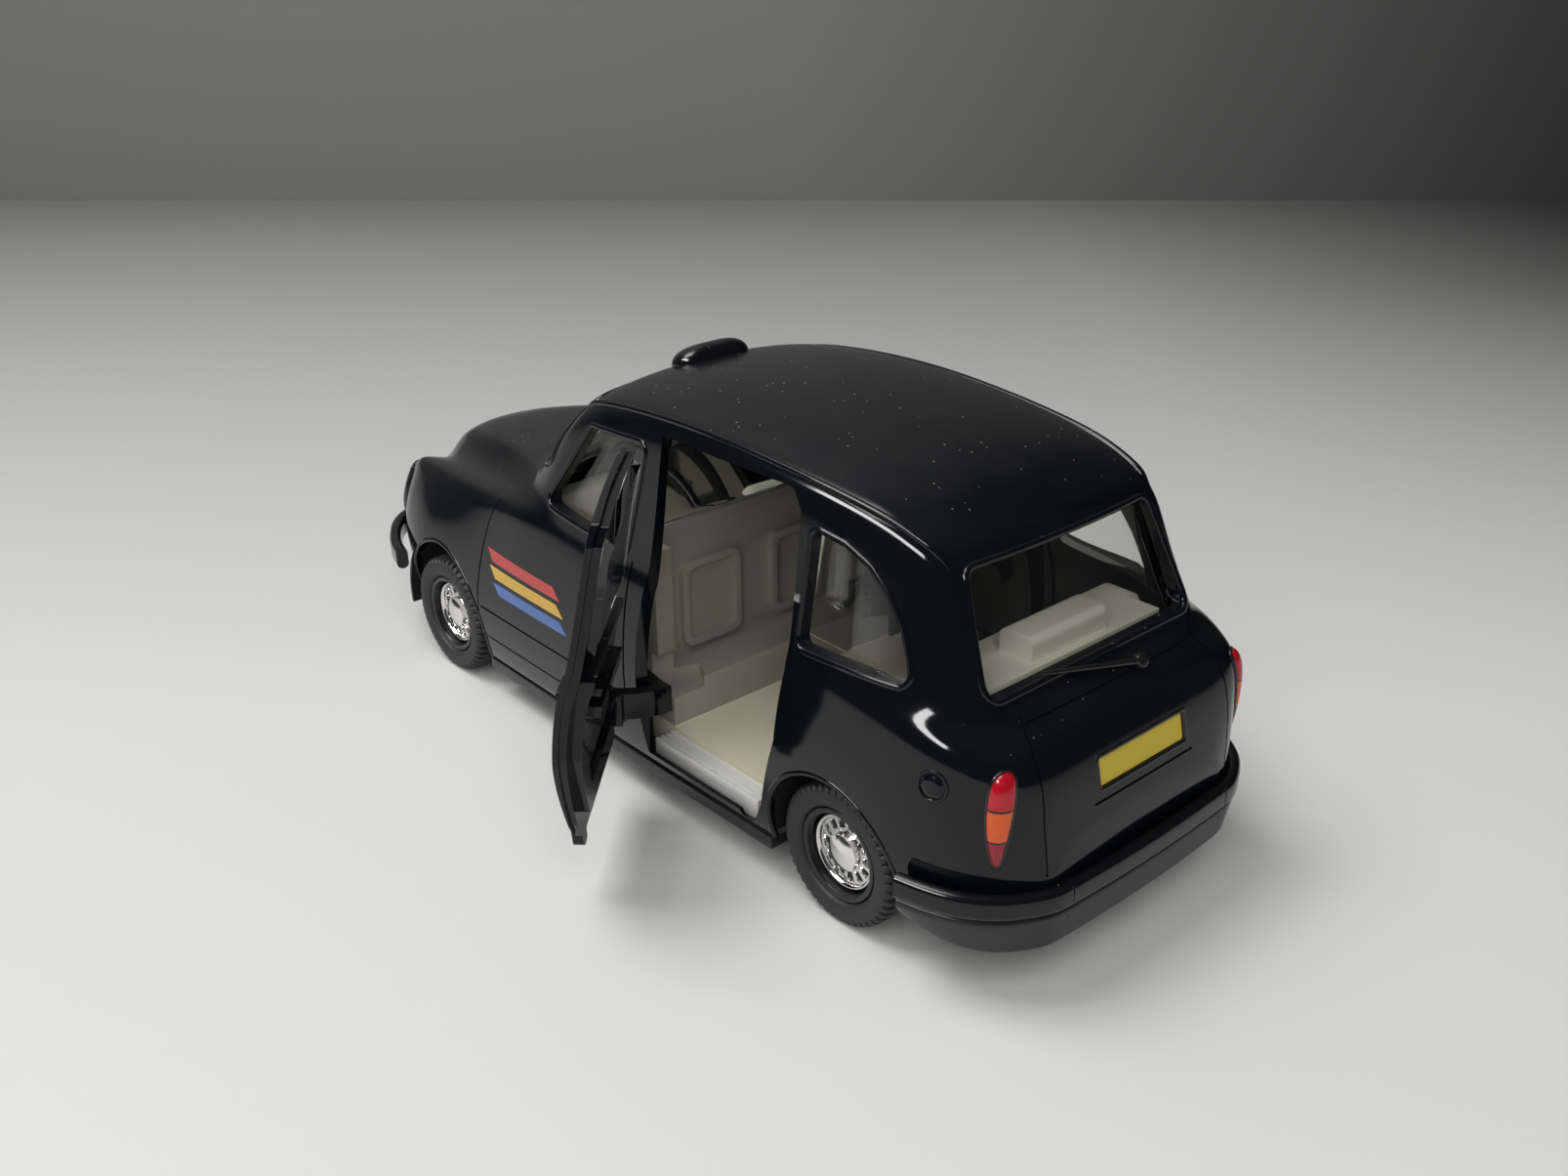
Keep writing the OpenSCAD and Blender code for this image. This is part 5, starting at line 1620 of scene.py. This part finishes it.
@dataclass
class Lamp:
    """Oval lamp that stands on the skin.

    Attributes:
        name: Name after left or right.
        at: Its middle along the body and up the section.
        size: Its half-sizes along the body and up the section.
        rise: How far it bulges.
        finish: Its finish.
        bowl: Whether a bright bowl shows through it.
    """

    name: str
    at: tuple[float, float]
    size: tuple[float, float]
    rise: float
    finish: Finish
    bowl: bool = False
    sink: float = 0.25
    edge: float = 0.92
    spokes: int = 72
    rings: int = 16
    tip: float = 0.05
    bezel_r: float = 0.24
    bezel_share: float = 1.03
    bowl_share: float = 0.9
    bowl_rise: float = 0.4

    def ring(self, share: float) -> tuple[np.ndarray, np.ndarray]:
        """An oval on the skin.

        Args:
            share: Its size as a share of the lamp.

        Returns:
            Points and directions out of the skin.
        """
        angles = np.linspace(0.0, 2 * math.pi, self.spokes, endpoint=False)
        x = self.at[0] + self.size[0] * share * np.cos(angles)
        j = self.at[1] + self.size[1] * share * np.sin(angles)
        return LINES.at(x, j), LINES.normal(x, j)

    def blister(self, name: str, width: float, rise: float) -> Mesh:
        """A domed oval on the skin.

        Args:
            name: Name of the new object.
            width: Its size as a share of the lamp.
            rise: How far it bulges.

        Returns:
            The solid.
        """
        rings = [(1.0, -self.sink)]
        shares = np.linspace(1.0, self.tip, self.rings)
        rings += [(share, rise * math.sqrt(1 - self.edge * share**2)) for share in shares]
        loops = []
        for share, height in rings:
            points, normals = self.ring(share * width)
            loops.append(points + height * normals)
        return smooth(loft(name, np.array(loops)), BULGE_ANGLE)

    def build(self) -> None:
        """Builds both lamps and their bezels."""
        points, normals = self.ring(self.bezel_share)
        bezel = sweep(self.name + "_bezel", points, normals, bead(self.bezel_r), closed=True)
        smooth(bezel, BEAD_ANGLE)
        lens = self.blister(self.name + "_lens", 1.0, self.rise)
        pieces = [(lens, self.finish, True), (bezel, TRIM, False)]
        if self.bowl:
            bowl = self.blister(self.name + "_bowl", self.bowl_share, self.bowl_rise * self.rise)
            pieces.append((bowl, BRIGHT, False))
        for side, matrix in (("right", MIRROR), ("left", Matrix.Identity(4))):
            for piece, finish, stands_for_node in pieces:
                nodes = (side + "_" + self.name,) if stands_for_node else ()
                seat(twin(piece, side + "_" + piece.name, matrix), Part.CAB, finish, *nodes)
        discard(*(piece for piece, _, _ in pieces))


TAIL_LAMP = Lamp("tail_lamp", at=(-59.4, 3.0), size=(0.85, 1.05), rise=0.8, finish=TAIL_RED)
HEADLAMP = Lamp("headlamp", at=(61.2, 3.05), size=(1.9, 0.95), rise=1.1, finish=LAMP_CLEAR, bowl=True)


@dataclass
class RoofSign:
    """Domed sign on the front of the roof."""

    at: tuple[float, float, float] = (7.2, 0.0, 48.7)
    length: float = 5.6
    width: float = 11.0
    height: float = 2.1
    tilt: float = 21.0
    sink: float = 1.2
    levels: int = 16
    plan_points: int = 24
    edge_power: float = 0.3
    top_angle: float = math.pi / 2 - 0.06
    lens_round: float = 0.12

    def build(self) -> None:
        """Builds the dome and rounds its lens."""
        r = self.length / 2
        across = (self.width - self.length) / 2
        plan = round_outline(((0.0, -across), (0.0, across)), r, self.plan_points)
        tilt = math.radians(self.tilt)
        shares = np.sin(np.linspace(0.0, self.top_angle, self.levels))
        levels = [(1.0, -self.sink)] + [((1 - t * t)**self.edge_power, t * self.height) for t in shares]
        loops = []
        for scale, z in levels:
            x, y = plan[:, 0] * scale, plan[:, 1] * scale
            loops.append(np.column_stack([x * math.cos(tilt) + z * math.sin(tilt), y,
                                          z * math.cos(tilt) - x * math.sin(tilt)]) + self.at)
        seat(smooth(loft("roof_sign_dome", np.array(loops)), BULGE_ANGLE), Part.CAB, SIGN, "roof_sign")
        seat(soften("sign_lens", self.lens_round), Part.CAB, AMBER, "sign_lens")


@dataclass
class TailTrim:
    """Plate with its frame, wiper and filler cap."""

    frame_half: tuple[float, float] = (7.0, 1.5)
    frame_r: float = 0.3
    frame_corner: float = 0.3
    frame_points: int = 120
    plate_half: tuple[float, float] = (6.7, 1.2)
    plate_corner: float = 0.3
    plate_steps: Corners = ((0.3, 0.0), (-0.2, 0.0), (-0.28, 0.08))
    wiper_from: tuple[float, float, float] = (-57.3, -4.6, 29.2)
    wiper_to: tuple[float, float, float] = (-54.9, 9.0, 31.6)
    wiper_r: float = 0.42
    wiper_taper: float = 0.5
    wiper_points: int = 40
    wiper_sides: int = 12
    wiper_angle: float = 45.0
    wiper_out: tuple[float, float, float] = (-0.78, 0.0, 0.62)
    pivot_rings: Corners = ((0.9, -1.0), (0.9, 0.1), (0.65, 0.4), (0.2, 0.5))
    pivot_sides: int = 32
    cap_at: tuple[float, float] = (-53.4, 23.7)
    cap_sides: int = 48
    cap_rings: Corners = ((1.7, -0.3), (1.7, 0.02), (1.62, 0.14), (1.4, 0.16), (1.3, 0.02), (1.15, 0.04),
                          (1.0, 0.2), (0.6, 0.26), (0.1, 0.28))

    def plate(self, shell: BodyShell) -> Mesh:
        """The blank plate, which leans with the tail.

        Args:
            shell: The body, for the plate's plane.

        Returns:
            The plate.
        """
        loops = []
        for out, inset in self.plate_steps:
            outline = round_outline(rectangle(self.plate_half), self.plate_corner - inset)
            loops.append(np.column_stack([np.full(len(outline), out), outline]))
        return smooth(loft("blank_plate", shell.on_tail(np.array(loops))))

    def plate_frame(self, shell: BodyShell) -> Mesh:
        """The rim round the plate.

        Args:
            shell: The body, for the plate's plane.

        Returns:
            The rim.
        """
        outline = round_outline(rectangle(self.frame_half), self.frame_corner)
        outline = resample(outline, self.frame_points, closed=True)
        path = shell.on_tail(np.column_stack([np.full(len(outline), -self.frame_r), outline]))
        out = unit(shell.on_tail(np.array((-1.0, 0.0, 0.0))) - shell.plate_at)
        normals = np.tile(out, (self.frame_points, 1))
        return smooth(sweep("plate_frame", path, normals, bead(self.frame_r), closed=True), BEAD_ANGLE)

    def wiper(self) -> Mesh:
        """The wiper with its pivot.

        Returns:
            The wiper.
        """
        share = np.linspace(0.0, 1.0, self.wiper_points)[:, None]
        path = np.array(self.wiper_from) * (1 - share) + np.array(self.wiper_to) * share
        out = unit(np.array(self.wiper_out))
        section = bead(self.wiper_r, self.wiper_sides)
        normals = np.tile(out, (self.wiper_points, 1))
        blade = sweep("wiper_blade", path, normals, section, taper=1.0 - self.wiper_taper * share[:, 0])
        angles = np.linspace(0.0, 2 * math.pi, self.pivot_sides, endpoint=False)[:, None]
        side = np.array((0.0, 1.0, 0.0))
        circle = np.cos(angles) * side + np.sin(angles) * np.cross(out, side)
        loops = [path[0] + height * out + radius * circle for radius, height in self.pivot_rings]
        carve(blade, loft("pivot", np.array(loops)), Cut.UNION)
        return smooth(blade, self.wiper_angle)

    def filler_cap(self, probe: SkinProbe) -> Mesh:
        """The left filler cap.

        Args:
            probe: Finds places on the skin.

        Returns:
            The cap.
        """
        loops = []
        for radius, height in self.cap_rings:
            points, normals = probe.project(View.LEFT, bead(radius, self.cap_sides) + self.cap_at)
            loops.append(points + height * normals)
        return smooth(loft("left_filler_cap", np.array(loops)), TURNED_ANGLE)

    def build(self, shell: BodyShell) -> None:
        """Builds the trim of the tail.

        Args:
            shell: The body, for the plate's plane and the skin.
        """
        seat(self.plate_frame(shell), Part.CAB, TRIM)
        seat(self.plate(shell), Part.CAB, PLATE, "rear_plate")
        seat(self.wiper(), Part.CAB, TRIM, "rear_wiper")
        shell.pair(self.filler_cap(shell.probe), ENAMEL)


@dataclass
class DoorStripes:
    """Three plain slanted stripes on the left front door."""

    stripes: tuple[tuple[Finish, float, float, float], ...] = ((STRIPE_RED, 22.4, 10.0, 26.6),
                                                               (STRIPE_YELLOW, 20.3, 9.2, 25.6),
                                                               (STRIPE_BLUE, 18.2, 8.4, 24.6))
    height: float = 1.5
    slant: float = 1.6
    lift: float = 0.03
    grid: tuple[int, int] = (60, 8)

    def build(self, probe: SkinProbe) -> None:
        """Lays the stripes on the skin.

        Args:
            probe: Finds places on the skin.
        """
        columns, rows = self.grid
        rise = np.linspace(-0.5, 0.5, rows)
        for finish, z, start, stop in self.stripes:
            x = np.linspace(start, stop, columns)
            flat = np.array([[(a + b * self.slant, z + b * self.height) for b in rise] for a in x])
            points, normals = probe.project(View.LEFT, flat.reshape(-1, 2))
            points, normals = (values.reshape(columns, rows, 3) for values in (points, normals))
            layer = sheet("door_" + finish.name, points + self.lift * normals, points - self.lift * normals)
            seat(smooth(layer), Part.CAB, finish)


@dataclass
class CabinAndBase:
    """Pieces whose CAD form is kept and whose edges are rounded."""

    rounded: tuple[tuple[str, float, Finish], ...] = (
        ("cabin_tub", 0.35, CABIN), ("rear_bench", 0.45, SEATING), ("driver_seat", 0.5, SEATING),
        ("dashboard", 0.3, SEATING), ("left_threshold", 0.08, STRIP), ("right_threshold", 0.08, STRIP),
        ("base_plate", 0.18, SATIN), ("grille", 0.12, BRIGHT), ("steering_wheel", 0.1, TRIM))
    valance_node: str = "base_plate"
    valance_room: Corners = ((-70, -30), (-50.4, -30), (-50.4, 30), (-70, 30))
    valance_z: tuple[float, float] = (5.66, 12.0)
    kept: tuple[tuple[str, Finish], ...] = (("base_screws", STEEL), ("left_hinge_pin", STEEL),
                                            ("right_hinge_pin", STEEL))

    def build(self) -> None:
        """Rounds and finishes the pieces."""
        for node, width, finish in self.rounded:
            piece = soften(node, width)
            if node == self.valance_node:
                room = np.array(self.valance_room, dtype=float)
                carve(piece, prism("valance_room", room, Axis.Z, *self.valance_z))
            seat(piece, Part.CAB, finish, node)
        for node, finish in self.kept:
            keep(node, finish)


# Studio


@dataclass(frozen=True)
class ShadedStagePaint:
    """A matt studio paint with painted shade: it darkens into the distance and to the right, in place of lamp
    light that falls off.

    Attributes:
        name: Name of the material.
        near: Tone at the cab.
        far: Tone in the distance.
        side: Share of the tone that is left far to the right.
        depth: Distances along the view between which the tone falls.
        width: Distances to the right between which the tone falls.
        depth_gain: How early the fall to the right sets in along the view.
        roughness: Its roughness.
        ahead: Direction of the view in plan.
        right: Direction to the right in plan.
        tint: Its colour at full tone.
    """

    name: str
    near: float
    far: float
    side: float
    depth: tuple[float, float] = (0.0, 380.0)
    width: tuple[float, float] = (60.0, 270.0)
    depth_gain: float = 1.6
    roughness: float = 0.6
    ahead: Direction = (0.749, -0.662, 0.0)
    right: Direction = (-0.662, -0.749, 0.0)
    tint: Colour = (1.0, 0.995, 0.97)

    def ramp(self, tree: bpy.types.NodeTree, direction: Direction, span: tuple[float, float]) -> Socket:
        """How far a point lies between two distances along a direction.

        Args:
            tree: Node tree of the material.
            direction: Unit direction in plan.
            span: The two distances.

        Returns:
            A socket from 0 to 1.
        """
        place = tree.nodes.new("ShaderNodeTexCoord")
        along = tree.nodes.new("ShaderNodeVectorMath")
        along.operation = "DOT_PRODUCT"
        along.inputs[1].default_value = direction
        tree.links.new(place.outputs["Object"], along.inputs[0])
        share = tree.nodes.new("ShaderNodeMapRange")
        share.inputs["From Min"].default_value = span[0] * MM
        share.inputs["From Max"].default_value = span[1] * MM
        tree.links.new(along.outputs["Value"], share.inputs["Value"])
        return share.outputs["Result"]

    def material(self) -> bpy.types.Material:
        """Builds the material.

        Returns:
            The material.
        """
        material = bpy.data.materials.new(self.name)
        material.use_nodes = True
        tree = material.node_tree
        shader = tree.nodes["Principled BSDF"]
        shader.inputs["Roughness"].default_value = self.roughness
        # Painted shade: the colour falls off along the view and to the right, standing in for light that
        # falls off
        depth = self.ramp(tree, self.ahead, self.depth)
        early = math_node(tree, "MINIMUM", math_node(tree, "MULTIPLY", depth, self.depth_gain), 1.0)
        aside = math_node(tree, "MULTIPLY", early, self.ramp(tree, self.right, self.width))
        tone = mix(tree, "FLOAT", depth, self.near, self.far)
        tone = math_node(tree, "MULTIPLY", tone, mix(tree, "FLOAT", aside, 1.0, self.side))
        tree.links.new(mix(tree, "RGBA", tone, (0.0, 0.0, 0.0), self.tint), shader.inputs["Base Color"])
        return material


@dataclass
class Studio:
    """Floor, backdrop, lamps and the camera at the photograph's angle."""

    eye: tuple[float, float, float] = (-137.03, 115.45, 102.99)
    target: tuple[float, float, float] = (-3.996, -2.114, 20.0)
    roll: float = -0.508
    lens: float = 34.72
    sensor: float = 36.0
    horizon: tuple[tuple[float, float], tuple[float, float]] = ((470.0, -42.0), (81.0, -443.0))
    spread: float = 1400.0
    wall_height: float = 900.0
    tiles: int = 9
    aim_z: float = 15.0
    near_clip: float = 5.0
    # Floor and backdrop carry painted shade that darkens them into the distance and to the right
    floor_painted_shade: ShadedStagePaint = ShadedStagePaint("floor_painted_shade", 0.80, 0.20, 0.12, width=(90.0, 290.0))
    wall_painted_shade: ShadedStagePaint = ShadedStagePaint("backdrop_paint", 0.23, 0.23, 0.15, width=(10.0, 310.0))
    lamps: tuple[tuple[str, tuple[float, float, float], tuple[float, float], float, LampUse], ...] = (
        ("key_softbox", (270.0, 230.0, 760.0), (420.0, 420.0), 3.8, LampUse.BOTH),
        ("gloss_card", (110.0, 440.0, 423.0), (420.0, 100.0), 3.2, LampUse.SHINE),
        ("side_fill", (-330.0, 360.0, 450.0), (600.0, 600.0), 2.8, LampUse.LIGHT))
    ambient: Colour = (0.55, 0.56, 0.58)
    ambient_strength: float = 0.08

    def sweep_floor(self) -> None:
        """Lays the floor and stands the backdrop on its far edge."""
        left, right = (np.array((*point, 0.0)) for point in self.horizon)
        along = unit(right - left)
        toward = np.array((along[1], -along[0], 0.0))
        toward *= math.copysign(1.0, float(np.dot(np.array(self.eye) * (1, 1, 0) - left, toward)))
        middle = (left + right) / 2
        up = np.array((0.0, 0.0, 1.0))
        steps = np.linspace(-self.spread, self.spread, self.tiles)[:, None, None] * along
        floor = middle + steps + np.linspace(0.0, 2 * self.spread, self.tiles)[None, :, None] * toward
        wall = middle + steps + np.linspace(0.0, self.wall_height, self.tiles)[None, :, None] * up
        for name, points, paint in (("floor", floor, self.floor_painted_shade), ("backdrop", wall, self.wall_painted_shade)):
            obj = lay_grid(name, points)
            obj.data.materials.append(paint.material())

    def hang_lamps(self) -> None:
        """Hangs the soft lamps and sets the ambient light."""
        aim = Vector((0.0, 0.0, self.aim_z * MM))
        for name, place, size, power, use in self.lamps:
            light = bpy.data.lights.new(name, "AREA")
            light.shape = "RECTANGLE"
            light.size = size[0] * MM
            light.size_y = size[1] * MM
            light.energy = power
            lamp = bpy.data.objects.new(name, light)
            lamp.visible_glossy = use is not LampUse.LIGHT
            lamp.visible_diffuse = use is not LampUse.SHINE
            lamp.location = Vector(place) * MM
            lamp.rotation_euler = (aim - lamp.location).to_track_quat("-Z", "Y").to_euler()
            bpy.context.collection.objects.link(lamp)
        world = bpy.data.worlds.new("studio_air")
        world.use_nodes = True
        background = world.node_tree.nodes["Background"]
        background.inputs["Color"].default_value = (*self.ambient, 1.0)
        background.inputs["Strength"].default_value = self.ambient_strength
        bpy.context.scene.world = world

    def set_camera(self) -> None:
        """Stands the camera where the photograph was taken."""
        eye, target = (Vector((x, y, z - BASE_Z)) * MM for x, y, z in (self.eye, self.target))
        ahead = (target - eye).normalized()
        right = ahead.cross(Vector((0.0, 0.0, 1.0))).normalized()
        up = right.cross(ahead)
        roll = math.radians(self.roll)
        across = right * math.cos(roll) + up * math.sin(roll)
        above = up * math.cos(roll) - right * math.sin(roll)
        data = bpy.data.cameras.new("photo_camera")
        data.lens = self.lens
        data.sensor_width = self.sensor
        data.clip_start = self.near_clip * MM
        camera = bpy.data.objects.new("photo_camera", data)
        turn = Matrix((across, above, -ahead)).transposed().to_4x4()
        camera.matrix_world = Matrix.Translation(eye) @ turn
        bpy.context.collection.objects.link(camera)
        bpy.context.scene.camera = camera

    def build(self) -> None:
        """Builds the studio."""
        self.sweep_floor()
        self.hang_lamps()
        self.set_camera()
        bpy.context.scene.view_settings.view_transform = "Standard"


def main() -> None:
    """Builds the pieces in order."""
    logging.basicConfig(level=logging.INFO, format="%(name)s: %(message)s")
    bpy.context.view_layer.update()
    Studio().build()
    door = RearDoor()
    shell = BodyShell()
    shell.build(door)
    shell.dress()
    door.build(shell.probe)
    Glazing().build()
    Wheels().build()
    REAR_BAR.build(GLOSS_TRIM, "rear_bumper")
    FRONT_BAR.build(GLOSS_TRIM, "front_bumper")
    REAR_VALANCE.build(SATIN)
    TAIL_LAMP.build()
    HEADLAMP.build()
    RoofSign().build()
    TailTrim().build(shell)
    DoorStripes().build(shell.probe)
    CabinAndBase().build()


if __name__ == "__main__":
    main()
